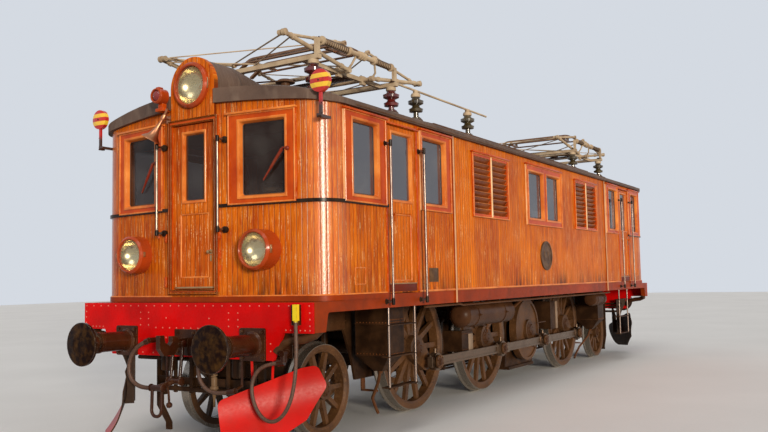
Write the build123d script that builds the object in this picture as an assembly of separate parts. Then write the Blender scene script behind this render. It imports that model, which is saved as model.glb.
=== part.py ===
from build123d import *
from math import atan2, cos, degrees, hypot, pi, radians, sin, tan
import os

# Electric rod locomotive, millimetres, X forward, Y to its left, Z up.
# The origin is under the middle of the locomotive, at the bottom of the wheel flanges.

# Rail level and wheels
FLANGE = 28
RAIL = FLANGE
WHEEL_BACK = 680
TYRE_W = 140
DRIVER_R = 765
PONY_R = 485
DRIVER_X = (2750, 700, -2750)
JACK_X = -1025
PONY_X = 4700
AXLE_R = 95
JACK_DISC_R = 500
CAP_R = 88
PONY_AXLE_D = 150
JOURNAL_CLEAR = 0.3
HUB_PROUD = 10
DRIVER_SPOKES = 14
PONY_SPOKES = 10
CRANK_THROW = 290
CRANK_LEFT = 219
CRANK_RIGHT = 309

# Side rods
ROD_Y0 = 955
ROD_Y1 = 1045
ROD_H = 120
ROD_T = 46
ROD_FLANGE = 26
ROD_GROOVE = 12
ROD_KNUCKLE = 215
ROD_EYE_R = 112
PIN_R = 60
PIN_CLEAR = 0.3
BOSS_Y = 870

# Plate frame
FRAME_Y0 = 600
FRAME_Y1 = 630
FRAME_TOP = RAIL + 1455
FRAME_LOW = RAIL + 480
FRAME_HIGH = RAIL + 1075
FRAME_DEEP_X = 3880

# Gear casing under the jackshaft
CASING_W = 1180
CASING_TOP = RAIL + 600
CASING_LOW = RAIL + 190

# Buffer beam and buffers
BEAM_X = 5890
BEAM_T = 30
BEAM_Z0 = RAIL + 1173
BEAM_Z1 = RAIL + 1455
BEAM_LOW_Z = RAIL + 912
BEAM_LOW_HALF = 1120
BEAM_LOW_TAPER = 120
BUFFER_FACE_X = 6500
BUFFER_Y = 875
BUFFER_Z = RAIL + 1060
BUFFER_HEAD_R = 218
BUFFER_BARREL_R = 100
BUFFER_RAM_R = 84
BUFFER_FOOT = 156
COUPLING_DROP = 370

# Ploughs in front of the wheels: inner and outer end in plan, curve of the board, places of the stays along it
PLOUGH_IN = (6142, 642)
PLOUGH_OUT = (5367, 1366)
PLOUGH_R = 620
PLOUGH_T = 14
PLOUGH_TILT = 10
PLOUGH_MID_Z = 520
PLOUGH_STAY_X = (330, 520)
STAY_T = 24

# Sandboxes beside the trucks, and the guard boxes in front of the second and third drivers: wheel, foot and top
SANDBOX_X = DRIVER_X[0] + DRIVER_R + FLANGE + 97
SANDBOX_L = 350
SANDBOX_Y = 760
SANDBOX_W = 445
SANDBOX_Z = RAIL + 600
FUNNEL_H = 185
GUARDS = ((DRIVER_X[1], RAIL + 620, RAIL + 910), (DRIVER_X[2], RAIL + 720, RAIL + 1200))
GUARD_GAP = 12
GUARD_T = 96
GUARD_L = 340
GUARD_Y1 = 925
GUARD_SIDE = 72

# Leading and trailing trucks
PONY_PIVOT_X = 3560
PONY_PIVOT_Z = RAIL + 700
PONY_PIN_R = 45

# Body walls
HALF_W = 1585
WALL = 80
END_X = 5790
END_FLAT = 300
END_RAKE = 0.1206
CORNER_R = 280
PANEL_X = 5380
JOINT_X = 3040
PANEL_GAP = 3
FLOOR_Z0 = RAIL + 1455
FLOOR_Z1 = RAIL + 1500
EAVE_Z = RAIL + 3375
END_ARCH_Z = RAIL + 3480
WELL_HALF = ((DRIVER_R + FLANGE) ** 2 - (FLOOR_Z0 - RAIL - DRIVER_R) ** 2) ** 0.5 + 49
WELL_T = 6
WELL_ROOM = 45
SOLE_W = 85
SOLE_Y0 = HALF_W - SOLE_W
SOLE_Z0 = RAIL + 1355
SOLE_DROP_Z = RAIL + 1175
SOLE_DROP_X = BEAM_X - 200
BEARER_X = (5200, SANDBOX_X - 20, 1725, -160, -1890, 20 - SANDBOX_X, -5200)

# How far the buffer beams and the signals stand inside the body's sides
BEAM_HALF = HALF_W - 5
SIGNAL_Y = HALF_W - 15

# Roof
ROOF_OVER = 48
FASCIA = 55
ROOF_CROWN = RAIL + 3780
ROOF_EDGE = EAVE_Z + FASCIA
ROOF_T = 50
HIP_X = 5230
HIP_CROWN = RAIL + 3630
HOOD_HALF = 300
HOOD_AXIS_Z = RAIL + 3690
HOOD_END_X = 4480
HOOD_END_HALF = 190
HOOD_END_TOP = RAIL + 3835
HOOD_BEND_X = 5330
ARCH_BEYOND = 60

# Windows and doors, heights above the floor line
GLASS_Z0 = RAIL + 2500
GLASS_Z1 = RAIL + 3250
FRAME_PROUD = 18
SASH = 34
PANE_T = 8
PANE_IN = 30
DOOR_X0 = 3960
DOOR_X1 = 4560
DOOR_TOP = RAIL + 3300
DOOR_T = 45
SEAT = 0.3
DOOR_GAP = 8
END_DOOR_HALF = 300
END_DOOR_Z0 = RAIL + 1585
END_DOOR_GLASS = 145
END_DOOR_GLASS_TOP = RAIL + 3200
HINGE_IN = 10
HINGE_R = 7.5
HINGE_PIN_R = 4.5
HINGE_H = 60
HINGE_Z = (RAIL + 1750, RAIL + 2400, RAIL + 3100)

# Lamps
HEADLAMP_Y = 870
HEADLAMP_Z = RAIL + 1965
HEADLAMP_X = 5690
HEADLAMP_RIM_R = 200
TOP_LAMP_RIM_R = 240
TOP_LAMP_Z = RAIL + 3700
TOP_LAMP_X = 5650
SIGNAL_X = END_X - 90
SIGNAL_Z = RAIL + 3545
MARKER_Y = -395
MARKER_Z = RAIL + 3625

# Pantographs
PANTO_X = 4000
PIVOT_X = 250
PIVOT_Z = RAIL + 4050
ARM = 1165
ARM_ANGLE = 8
LOWER_Y = 900
UPPER_Y = 845
LOWER_D = 48
UPPER_D = 34
SHAFT_D = 50
KNEE_PIN_D = 28
HEAD_SHAFT_D = 28
BASE_REAR_X = -650
BASE_FRONT_X = 940
BASE_Y = 920
BASE_Z0 = RAIL + 4020
SPRING_Y = 972
SPRING_Z = RAIL + 4240
BEARING_Y = 765
INSULATOR_R = 95
PAD_R = 90
PAD_H = 22
POST_X = (1240, 2753)
BUSBAR_Y = 930
BUSBAR_D = 28
BUSBAR_Z = RAIL + 4085

BASE = (Align.CENTER, Align.CENTER, Align.MIN)


def block(x0, x1, y0, y1, z0, z1):
    """Box between two corners."""
    return Pos((x0 + x1) / 2, (y0 + y1) / 2, (z0 + z1) / 2) * Box(x1 - x0, y1 - y0, z1 - z0)


def bar(p, q, d):
    """Round bar of diameter d from p to q."""
    start = Vector(*p)
    run = Vector(*q) - start
    return Plane(origin=start, z_dir=run) * Cylinder(d / 2, run.length, align=BASE)


def pipe(points, radius, d):
    """Bent round bar through points, with arcs at its corners."""
    line = FilletPolyline(*points, radius=radius)
    return sweep(Plane(origin=line @ 0, z_dir=line % 0) * Circle(d / 2), path=line)


def turned(profile, x, y, z, direction):
    """Solid of revolution: profile lists (distance along the axis, radius)."""
    face = make_face(Polyline(*profile, close=True))
    solid = revolve(face, Axis.X, 360)
    return Plane(origin=(x, y, z), x_dir=direction, z_dir=Vector(*direction).cross(Vector(0.1, 0.2, 1))) * solid


def along_y(sketch, y0, y1):
    """Extrude a sketch drawn in X and Z from y0 to y1."""
    return Plane(origin=(0, y1, 0), x_dir=(1, 0, 0), z_dir=(0, -1, 0)) * extrude(sketch, y1 - y0)


def along_x(sketch, x0, x1):
    """Extrude a sketch drawn in Y and Z from x0 to x1."""
    return Plane(origin=(x0, 0, 0), x_dir=(0, 1, 0), z_dir=(1, 0, 0)) * extrude(sketch, x1 - x0)


def left_right(shape):
    return [shape, mirror(shape, about=Plane.XZ)]


def front_rear(shape):
    return [shape, mirror(shape, about=Plane.YZ)]


def four(shape):
    """A shape and its copies at the other three corners."""
    return left_right(shape) + left_right(mirror(shape, about=Plane.YZ))


def turned_round(shape):
    """The same shape at the other end of the locomotive."""
    return Rot(0, 0, 180) * shape


def joined(shapes):
    """One solid from shapes that touch or overlap."""
    return shapes[0] + shapes[1:]


def save(node, *shapes):
    """Write one sub-part, its solids as they are."""
    solids = [solid for shape in shapes for solid in shape.solids()]
    export_step(Compound(solids), f"parts/{node}.step")


# Body shape

def outline(off):
    """Plan of the body walls moved outwards by off: flat middle, raked sides and round corners."""
    end = END_X + off
    side = HALF_W + off
    corner = end - END_RAKE * (side - END_FLAT)
    half = [(end, -END_FLAT), (end, END_FLAT), (corner, side), (-corner, side)]
    points = half + [(-x, -y) for x, y in half]
    face = make_face(Polyline(*points, close=True))
    corners = face.vertices().filter_by(lambda v: abs(v.Y) > END_FLAT + 1)
    return fillet(corners, CORNER_R + off)


def slab(off, z0, z1):
    """The body's plan, moved outwards by off, as a solid between two heights."""
    return Pos(0, 0, z0) * extrude(outline(off), z1 - z0)


def arch(half, base, edge, crown):
    """Section in Y and Z with a flat base and an arc through (half, edge) and the crown, drawn past half."""
    rise = crown - edge
    radius = (half * half + rise * rise) / (2 * rise)
    side = half + ARCH_BEYOND
    low = crown - radius + (radius * radius - side * side) ** 0.5
    foot = Polyline((-side, low), (-side, base), (side, base), (side, low))
    return make_face(foot + ThreePointArc((side, low), (0, crown), (-side, low)))


def end_wall_x(y):
    """Outer face of the end wall at y."""
    return END_X - END_RAKE * max(0, abs(y) - END_FLAT)


def on_end_wall(y, z):
    """Place on the end wall's outer face, its local Y along the wall and X outwards."""
    turn = degrees(atan2(END_RAKE, 1)) if y > END_FLAT else 0
    return Pos(end_wall_x(y), y, z) * Rot(0, 0, turn)


# Table of side windows: x0, x1 of the glass, then x0, x1 and z0, z1 of the frame round it
SIDE_WINDOWS = (
    (4760, 5220, 4600, 5370, RAIL + 2420, RAIL + 3335),
    (3270, 3820, 3120, 3860, RAIL + 2420, RAIL + 3335),
)
MID_WINDOW = (70, 650, 730, RAIL + 2400, RAIL + 3290)
MID_GLASS_Z1 = RAIL + 3190
END_WINDOW = (600, 1130, 460, 1250, RAIL + 2420, RAIL + 3335)
LOUVRE = (1390, 2520, RAIL + 2420, RAIL + 3250)
LOUVRE_SLATS = 10


def side_window_hole(x0, x1):
    return block(x0 - SASH, x1 + SASH, HALF_W - 2 * WALL, HALF_W + 50, GLASS_Z0 - SASH, GLASS_Z1 + SASH)


def rim(w0, w1, h0, h1, w2, w3, h2, h3, t0, t1):
    """Rectangular ring in X and Z from t0 to t1 along Y: outer sizes first, then the hole."""
    return block(w0, w1, t0, t1, h0, h1) - block(w2, w3, t0 - 1, t1 + 1, h2, h3)


def side_window_frame(x0, x1, fx0, fx1, fz0, fz1):
    """Frame proud of the wall, with the sash that fills the hole behind it."""
    outer = rim(fx0, fx1, fz0, fz1, x0, x1, GLASS_Z0, GLASS_Z1, HALF_W, HALF_W + FRAME_PROUD)
    sash = rim(x0 - SASH, x1 + SASH, GLASS_Z0 - SASH, GLASS_Z1 + SASH, x0, x1, GLASS_Z0, GLASS_Z1,
               HALF_W - PANE_IN - PANE_T, HALF_W)
    return outer + sash


def side_pane(x0, x1):
    return block(x0, x1, HALF_W - PANE_IN - PANE_T, HALF_W - PANE_IN, GLASS_Z0, GLASS_Z1)


def louvre_panel():
    """Frame with two columns of sloping slats."""
    x0, x1, z0, z1 = LOUVRE
    edge = 45
    middle = (x0 + x1) / 2
    pitch = (z1 - z0 - 2 * edge) / LOUVRE_SLATS
    panel = rim(x0, x1, z0, z1, x0 + edge, x1 - edge, z0 + edge, z1 - edge, HALF_W - 50, HALF_W + FRAME_PROUD)
    panel += block(middle - 25, middle + 25, HALF_W - 50, HALF_W + FRAME_PROUD, z0, z1)
    for i in range(LOUVRE_SLATS):
        z = z0 + edge + (i + 0.5) * pitch
        panel += Pos(middle, HALF_W - 16, z) * Rot(-38, 0, 0) * Box(x1 - x0 - edge, 12, pitch * 1.15)
    return panel


# Door hinges, for a leaf that lies along +X from a jamb at x = 0 with its inner face at y = 0

def knuckles(x):
    """Hinge knuckles of a leaf whose edge is at x, with their straps on its inner face."""
    parts = []
    for z in HINGE_Z:
        strap = block(x, x + 45, -HINGE_IN, 1, z, z + HINGE_H)
        parts += [strap, Pos(x, -HINGE_IN, z) * Cylinder(HINGE_R, HINGE_H, align=BASE)]
    return parts


def knuckle_bores(x):
    return [Pos(x, -HINGE_IN, z - 1) * Cylinder(HINGE_PIN_R + PIN_CLEAR, HINGE_H + 2, align=BASE) for z in HINGE_Z]


def hinge_pins(x):
    """Pins on lugs that stand out of the jamb at x = 0, for knuckles at x."""
    parts = []
    for z in HINGE_Z:
        lug = block(-5, x, -HINGE_IN - HINGE_R, -HINGE_IN + HINGE_R, z - 25, z - SEAT)
        parts += [lug, Pos(x, -HINGE_IN, z - 25) * Cylinder(HINGE_R, 25 - SEAT, align=BASE)]
        parts.append(Pos(x, -HINGE_IN, z - 25) * Cylinder(HINGE_PIN_R, HINGE_H + 25, align=BASE))
    return parts


# Body shell

def body_shell():
    y0 = HALF_W - 2 * WALL
    y1 = HALF_W + 50
    cab = block(JOINT_X + PANEL_GAP / 2, PANEL_X - PANEL_GAP / 2, HALF_W - WALL, HALF_W, FLOOR_Z1, EAVE_Z)
    cab -= [side_window_hole(x0, x1) for x0, x1, *_ in SIDE_WINDOWS]
    cab -= block(DOOR_X0, DOOR_X1, y0, y1, FLOOR_Z1 - 1, DOOR_TOP)
    cab += [Pos(DOOR_X0, HALF_W - DOOR_T, 0) * pin for pin in hinge_pins(DOOR_GAP)]
    save("cab_sides", *four(cab))
    x0, x1, *_ = MID_WINDOW
    lx0, lx1, lz0, lz1 = LOUVRE
    reach = JOINT_X - PANEL_GAP / 2
    middle = block(-reach, reach, HALF_W - WALL, HALF_W, FLOOR_Z1, EAVE_Z)
    middle -= [block(-x1 - SASH, x1 + SASH, y0, y1, GLASS_Z0 - SASH, MID_GLASS_Z1 + SASH)]
    middle -= front_rear(block(lx0, lx1, y0, y1, lz0, lz1))
    save("machine_room_sides", *left_right(middle))


def cab_end():
    """End wall with its round corners, arched top and the board that carries the top lamp."""
    top = END_ARCH_Z + 10
    wall = slab(0, FLOOR_Z1, top) - slab(-WALL, FLOOR_Z1 - 1, top + 1)
    wall &= along_x(arch(HALF_W, 0, EAVE_Z, END_ARCH_Z), PANEL_X + PANEL_GAP / 2, END_X + 10)
    y0, y1, fy0, fy1, fz0, fz1 = END_WINDOW
    hole = on_end_wall((y0 + y1) / 2, (GLASS_Z0 + GLASS_Z1) / 2)
    hole *= Box(4 * WALL, y1 - y0 + 2 * SASH, GLASS_Z1 - GLASS_Z0 + 2 * SASH)
    cuts = left_right(hole)
    cuts += left_right(bar((HEADLAMP_X - 200, HEADLAMP_Y, HEADLAMP_Z), (END_X + 50, HEADLAMP_Y, HEADLAMP_Z),
                           2 * (HEADLAMP_RIM_R + SEAT)))
    cuts.append(block(END_X - 3 * WALL, END_X + 50, -END_DOOR_HALF, END_DOOR_HALF, END_DOOR_Z0, DOOR_TOP))
    wall -= cuts
    board = make_face(Polyline((-HOOD_HALF - 12, HOOD_AXIS_Z), (-HOOD_HALF - 12, DOOR_TOP + 60),
                               (HOOD_HALF + 12, DOOR_TOP + 60), (HOOD_HALF + 12, HOOD_AXIS_Z))
                      + ThreePointArc((HOOD_HALF + 12, HOOD_AXIS_Z), (0, HOOD_AXIS_Z + HOOD_HALF + 12),
                                      (-HOOD_HALF - 12, HOOD_AXIS_Z)))
    wall += along_x(board, END_X - 30, END_X + 25)
    jamb = Pos(END_X - DOOR_T, -END_DOOR_HALF, 0) * Rot(0, 0, 90)
    wall += [jamb * mirror(pin, about=Plane.XZ) for pin in hinge_pins(DOOR_GAP)]
    return wall - bar((END_X - 200, 0, TOP_LAMP_Z), (END_X + 100, 0, TOP_LAMP_Z), 2 * (TOP_LAMP_RIM_R + SEAT))


def roof_outer():
    """Whole outside of the roof, with its lowered and rounded ends."""
    over = HALF_W + ROOF_OVER
    base = EAVE_Z - 40
    middle = along_x(arch(over, base, ROOF_EDGE, ROOF_CROWN), -HIP_X, HIP_X)
    place = Plane(origin=(HIP_X, 0, 0), x_dir=(0, 1, 0), z_dir=(1, 0, 0))
    far_over = Plane(origin=(END_X + 2 * ROOF_OVER, 0, 0), x_dir=(0, 1, 0), z_dir=(1, 0, 0))
    drop = (ROOF_CROWN - HIP_CROWN) * ROOF_OVER / (END_X + ROOF_OVER - HIP_X)
    end = loft([place * arch(over, base, ROOF_EDGE, ROOF_CROWN),
                far_over * arch(over, base, ROOF_EDGE, HIP_CROWN - drop)])
    whole = joined([middle] + front_rear(end))
    return whole & slab(ROOF_OVER, EAVE_Z, ROOF_CROWN + 50)


def roof_inner():
    """Space under the roof, inside the walls."""
    inside = HALF_W - WALL
    drop = ROOF_T
    base = EAVE_Z - 40
    middle = along_x(arch(inside, base, ROOF_EDGE, ROOF_CROWN - drop), -HIP_X, HIP_X)
    place = Plane(origin=(HIP_X, 0, 0), x_dir=(0, 1, 0), z_dir=(1, 0, 0))
    far = Plane(origin=(END_X, 0, 0), x_dir=(0, 1, 0), z_dir=(1, 0, 0))
    end = loft([place * arch(inside, base, ROOF_EDGE, ROOF_CROWN - drop),
                far * arch(inside, base, ROOF_EDGE, HIP_CROWN - drop)])
    return joined([middle] + front_rear(end)) & slab(-WALL, EAVE_Z - 20, ROOF_CROWN)


def hood():
    """Arched hood behind the top lamp, sloping down to the roof."""
    def section(x, half, top):
        side = top - half
        face = make_face(Polyline((-half, side), (-half, EAVE_Z + 100), (half, EAVE_Z + 100), (half, side))
                         + ThreePointArc((half, side), (0, top), (-half, side)))
        return Plane(origin=(x, 0, 0), x_dir=(0, 1, 0), z_dir=(1, 0, 0)) * face
    top = HOOD_AXIS_Z + HOOD_HALF
    straight = loft([section(HOOD_BEND_X, HOOD_HALF, top), section(END_X - 30, HOOD_HALF, top)])
    slope = loft([section(HOOD_END_X, HOOD_END_HALF, HOOD_END_TOP), section(HOOD_BEND_X, HOOD_HALF, top)])
    return straight + slope


def roof():
    outer = roof_outer()
    inner = roof_inner()
    middle_cut = block(-JOINT_X + PANEL_GAP / 2, JOINT_X - PANEL_GAP / 2, -4000, 4000, 0, 6000)
    end_cut = block(JOINT_X + PANEL_GAP / 2, 7000, -4000, 4000, 0, 6000)
    pads = [pad(x, y) for x in (PANTO_X + BASE_REAR_X, PANTO_X + BASE_FRONT_X) for y in (-BASE_Y, BASE_Y)]
    middle = (outer - inner) & middle_cut
    middle += [pad(x, BUSBAR_Y) for x in POST_X]
    save("roof_middle", middle)
    end = outer & end_cut
    end += hood() - block(0, HOOD_END_X - 10, -4000, 4000, 0, 6000)
    end -= inner & end_cut
    end -= along_x(arch(HALF_W, 0, EAVE_Z, END_ARCH_Z), PANEL_X, 7000)
    end -= block(END_X - 30, 7000, -HOOD_HALF - 12, HOOD_HALF + 12, 0, 6000)
    end -= bar((TOP_LAMP_X - SEAT, 0, TOP_LAMP_Z), (END_X + 100, 0, TOP_LAMP_Z), 2 * (TOP_LAMP_RIM_R + SEAT))
    end += pads
    save("roof_ends", end, turned_round(end))


def window_frames():
    frames = []
    for row in SIDE_WINDOWS:
        frames += four(side_window_frame(*row))
    x0, x1, half, z0, z1 = MID_WINDOW
    top = MID_GLASS_Z1
    pair = rim(-half, half, z0, z1, -x1, x1, GLASS_Z0, top, HALF_W, HALF_W + FRAME_PROUD)
    pair += rim(-x1 - SASH, x1 + SASH, GLASS_Z0 - SASH, top + SASH, -x1, x1, GLASS_Z0, top,
                HALF_W - PANE_IN - PANE_T, HALF_W)
    pair += block(-x0, x0, HALF_W - PANE_IN - PANE_T, HALF_W + FRAME_PROUD, GLASS_Z0, top)
    frames += left_right(pair)
    y0, y1, fy0, fy1, fz0, fz1 = END_WINDOW
    place = on_end_wall((y0 + y1) / 2, 0)
    w = (y1 - y0) / 2
    outer = Pos(FRAME_PROUD / 2, 0, (fz0 + fz1) / 2) * Box(FRAME_PROUD, fy1 - fy0, fz1 - fz0)
    sash = Pos(-(PANE_IN + PANE_T) / 2, 0, (GLASS_Z0 + GLASS_Z1) / 2)
    sash *= Box(PANE_IN + PANE_T, 2 * (w + SASH), GLASS_Z1 - GLASS_Z0 + 2 * SASH)
    hole = Pos(0, 0, (GLASS_Z0 + GLASS_Z1) / 2) * Box(4 * WALL, 2 * w, GLASS_Z1 - GLASS_Z0)
    frames += four(place * (outer + sash - hole))
    jamb = 48
    door = block(END_X, END_X + 25, -END_DOOR_HALF - jamb, END_DOOR_HALF + jamb, END_DOOR_Z0 - 25, DOOR_TOP + 55)
    door -= block(END_X - 10, END_X + 60, -END_DOOR_HALF, END_DOOR_HALF, END_DOOR_Z0, DOOR_TOP)
    frames += front_rear(door)
    save("window_frames", *frames)


def window_glass():
    panes = []
    for x0, x1, *_ in SIDE_WINDOWS:
        panes += four(side_pane(x0, x1))
    x0, x1, *_ = MID_WINDOW
    panes += four(block(x0, x1, HALF_W - PANE_IN - PANE_T, HALF_W - PANE_IN, GLASS_Z0, MID_GLASS_Z1))
    y0, y1, *_ = END_WINDOW
    pane = Pos(-PANE_IN - PANE_T / 2, 0, (GLASS_Z0 + GLASS_Z1) / 2) * Box(PANE_T, y1 - y0, GLASS_Z1 - GLASS_Z0)
    panes += four(on_end_wall((y0 + y1) / 2, 0) * pane)
    save("window_glass", *panes)


def body_trim():
    """Belt rail and sill band round each end, and the strips over the side joints."""
    keep_end = block(DOOR_X1, 7000, -4000, 4000, 0, 6000)
    belt_z = RAIL + 2405
    belt = (slab(22, belt_z, belt_z + 34) - slab(0, belt_z - 1, belt_z + 40)) & keep_end
    belt -= block(0, 7000, -END_DOOR_HALF - 50, END_DOOR_HALF + 50, 0, 6000)
    for row in (SIDE_WINDOWS[0],):
        for cut in left_right(block(row[2], row[3], HALF_W - 1, HALF_W + 60, row[4], row[5])):
            belt -= cut
    y0, y1, fy0, fy1, fz0, fz1 = END_WINDOW
    window = on_end_wall((y0 + y1) / 2, 0) * Pos(0, 0, (fz0 + fz1) / 2) * Box(60, fy1 - fy0, fz1 - fz0)
    for cut in left_right(window):
        belt -= cut
    sill = (slab(16, FLOOR_Z0 + 5, FLOOR_Z1 + 12) - slab(0, FLOOR_Z0, FLOOR_Z1 + 20)) & keep_end
    strip = block(JOINT_X - 22, JOINT_X + 22, HALF_W, HALF_W + 12, SOLE_Z0, EAVE_Z)
    save("body_trim", *front_rear(belt), *front_rear(sill), *four(strip))


def wheel_well(x, wall):
    """Room over a driving wheel, grown by wall on each side and at the top."""
    half = WELL_HALF + wall
    top = RAIL + 2 * DRIVER_R + FLANGE + WELL_ROOM + wall
    return block(x - half, x + half, WHEEL_BACK - FLANGE - wall, BOSS_Y + wall, FLOOR_Z0 - 1, top)


def underframe():
    """Floor, outside sole bars with dropped ends, bearers to the plate frame, and the casings over the wheels."""
    floor = slab(0, FLOOR_Z0, FLOOR_Z1) - [well for x in DRIVER_X for well in left_right(wheel_well(x, WELL_T))]
    above = block(-END_X, END_X, -HALF_W, HALF_W, FLOOR_Z0, EAVE_Z)
    casings = [(wheel_well(x, WELL_T) & above) - wheel_well(x, 0) for x in DRIVER_X]
    end = BEAM_X - BEAM_T
    half = [(end, FLOOR_Z0), (end, SOLE_DROP_Z), (SOLE_DROP_X, SOLE_DROP_Z), (SOLE_DROP_X - 40, SOLE_Z0)]
    points = half + [(-x, z) for x, z in reversed(half)]
    sole = fillet(make_face(Polyline(*points, close=True)).vertices().filter_by(
        lambda v: abs(v.Y - SOLE_Z0) < 1), 35)
    parts = left_right(along_y(sole, SOLE_Y0, HALF_W))
    for x in BEARER_X:
        parts += left_right(block(x - 50, x + 50, FRAME_Y1, SOLE_Y0, SOLE_Z0 + 10, FLOOR_Z0))
    parts += four(block(END_X - 200, end, FRAME_Y1, BEAM_HALF, FLOOR_Z0 - 14, FLOOR_Z0))
    parts += front_rear(block(END_X - 200, end, -FRAME_Y0, FRAME_Y0, FLOOR_Z0 - 14, FLOOR_Z0))
    save("underframe", floor + parts)
    save("wheel_casings", *[part for casing in casings for part in left_right(casing)])


def bulkhead():
    """Wall between a cab and the machine room, with its doorway."""
    wall = along_x(arch(HALF_W - WALL, FLOOR_Z1, EAVE_Z, ROOF_CROWN - ROOF_T - 25), JOINT_X - 25, JOINT_X + 15)
    wall &= block(JOINT_X - 25, JOINT_X + 15, WALL - HALF_W, HALF_W - WALL, 0, 6000)
    wall -= left_right(wheel_well(DRIVER_X[0], WELL_T + SEAT))
    return wall - block(JOINT_X - 50, JOINT_X + 50, -330, 330, FLOOR_Z1 - 1, RAIL + 3300)


# Frame and running gear

def main_frame():
    """Two plates with slots for the axle boxes, joined by stretchers."""
    low, high, deep = FRAME_LOW, FRAME_HIGH, FRAME_DEEP_X
    end = BEAM_X - BEAM_T
    half = [(end, FRAME_TOP), (end, high), (deep + 160, high), (deep, low + 240), (deep - 60, low)]
    points = half + [(-x, z) for x, z in reversed(half)]
    plate = make_face(Polyline(*points, close=True))
    for x in DRIVER_X + (JACK_X,):
        axle = RAIL + DRIVER_R
        plate -= Pos(x, (axle + 160 + low - 200) / 2) * Rectangle(276, axle + 160 - low + 200)
    holes = ((3500, 1160, 420, 240), (1730, 1150, 700, 260), (-190, 1180, 500, 240), (-1890, 1180, 500, 240),
             (-3500, 1160, 420, 240))
    for x, z, w, h in holes:
        plate -= Pos(x, RAIL + z) * SlotOverall(w, h)
    parts = left_right(along_y(plate, FRAME_Y0, FRAME_Y1))
    for x in (5500, 4700, 3620, 1725, -160, -1890, -3620, -4700, -5500):
        parts.append(block(x - 15, x + 15, -FRAME_Y0, FRAME_Y0, FRAME_HIGH + 40, FRAME_TOP))
    for x in DRIVER_X + (JACK_X,):
        axle = RAIL + DRIVER_R
        box = block(x - 138, x + 138, FRAME_Y0 - 60, FRAME_Y1 + 32, axle - 150, axle + 160)
        parts += left_right(box - bar((x, 0, axle), (x, 1000, axle), 2 * (AXLE_R + JOURNAL_CLEAR)))
    cheek = Trapezoid(CASING_W, CASING_TOP - CASING_LOW, 100, 100, rotation=180)
    parts += left_right(along_y(Pos(JACK_X, (CASING_LOW + CASING_TOP) / 2) * cheek, FRAME_Y0 - 110, FRAME_Y1 + 25))
    parts += left_right(block(JACK_X - CASING_W / 2 + 60, JACK_X + CASING_W / 2 - 60, FRAME_Y0 - 110, FRAME_Y1 + 70,
                              CASING_LOW - 45, CASING_LOW))
    return joined(parts)


def tyre_profile(radius, thick):
    """Rim and tyre of a wheel at the left side: distance along the axle and radius."""
    y = WHEEL_BACK
    inner = radius - thick
    return ((y, inner), (y, radius + FLANGE - 8), (y + 10, radius + FLANGE), (y + 24, radius + FLANGE),
            (y + 42, radius), (y + TYRE_W, radius - 4), (y + TYRE_W, inner + 30), (y + TYRE_W - 20, inner))


def wheel(radius, rim_t, hub_r, spokes, spoke_w):
    """Spoked wheel at the left side, with its axis along Y through the origin."""
    rings = make_face(Polyline(*tyre_profile(radius, rim_t), close=True))
    disc = Plane(origin=(0, 0, 0), x_dir=(0, 1, 0), z_dir=(1, 0, 0)) * rings
    inner = radius - rim_t
    arm = loft([Rectangle(spoke_w * 1.35, 62), Pos(0, 0, inner + 30 - hub_r) * Rectangle(spoke_w, 46)])
    arm = Pos(0, WHEEL_BACK + TYRE_W / 2, hub_r - 15) * arm
    parts = [Rot(0, (i + 0.5) * 360 / spokes, 0) * arm for i in range(spokes)]
    parts.append(bar((0, WHEEL_BACK - HUB_PROUD, 0), (0, WHEEL_BACK + TYRE_W + 20, 0), 2 * hub_r))
    return [revolve(disc, Axis.Y, 360)] + parts


def crank(angle):
    """Boss and pin at the left side for a crank at an angle from +X towards +Z."""
    x = CRANK_THROW * cos(radians(angle))
    z = CRANK_THROW * sin(radians(angle))
    y = WHEEL_BACK + TYRE_W
    arm = make_hull((Circle(165).edges() + (Pos(CRANK_THROW, 0) * Circle(118)).edges()))
    boss = along_y(Rot(0, 0, angle) * arm, y - 60, BOSS_Y)
    pin = bar((x, BOSS_Y - 5, z), (x, ROD_Y1 + 12, z), 2 * PIN_R)
    collar = bar((x, BOSS_Y - 5, z), (x, ROD_Y0 - 8, z), 2 * PIN_R + 50)
    cap = bar((x, ROD_Y1 + 10, z), (x, ROD_Y1 + 34, z), 2 * CAP_R)
    return [boss, pin, collar, cap]


def weight(radius, chord, angle):
    """Balance weight across a wheel, opposite its crank."""
    segment = Circle(radius) & (Pos(-radius, 0) * Rectangle(2 * (radius - chord), 2 * radius))
    return along_y(Rot(0, 0, angle) * segment, WHEEL_BACK + 35, WHEEL_BACK + TYRE_W + 16)


def wheelset(x, z, diameter, left, right):
    """Axle between the hubs, with what it carries at its left end and, mirrored, at its right end."""
    hub = WHEEL_BACK - HUB_PROUD
    axle = bar((0, -hub, 0), (0, hub, 0), diameter)
    ends = joined(left), mirror(joined(right), about=Plane.XZ)
    return [Pos(x, 0, z) * part for part in (axle, *ends)]


def driver():
    """Driving wheelset in the middle: axle, spoked wheels, cranks and balance weights."""
    def one(angle):
        return wheel(DRIVER_R, 100, 150, DRIVER_SPOKES, 58) + [weight(DRIVER_R - 80, 420, angle)] + crank(angle)
    return wheelset(0, RAIL + DRIVER_R, 2 * AXLE_R, one(CRANK_LEFT), one(CRANK_RIGHT))


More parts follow.
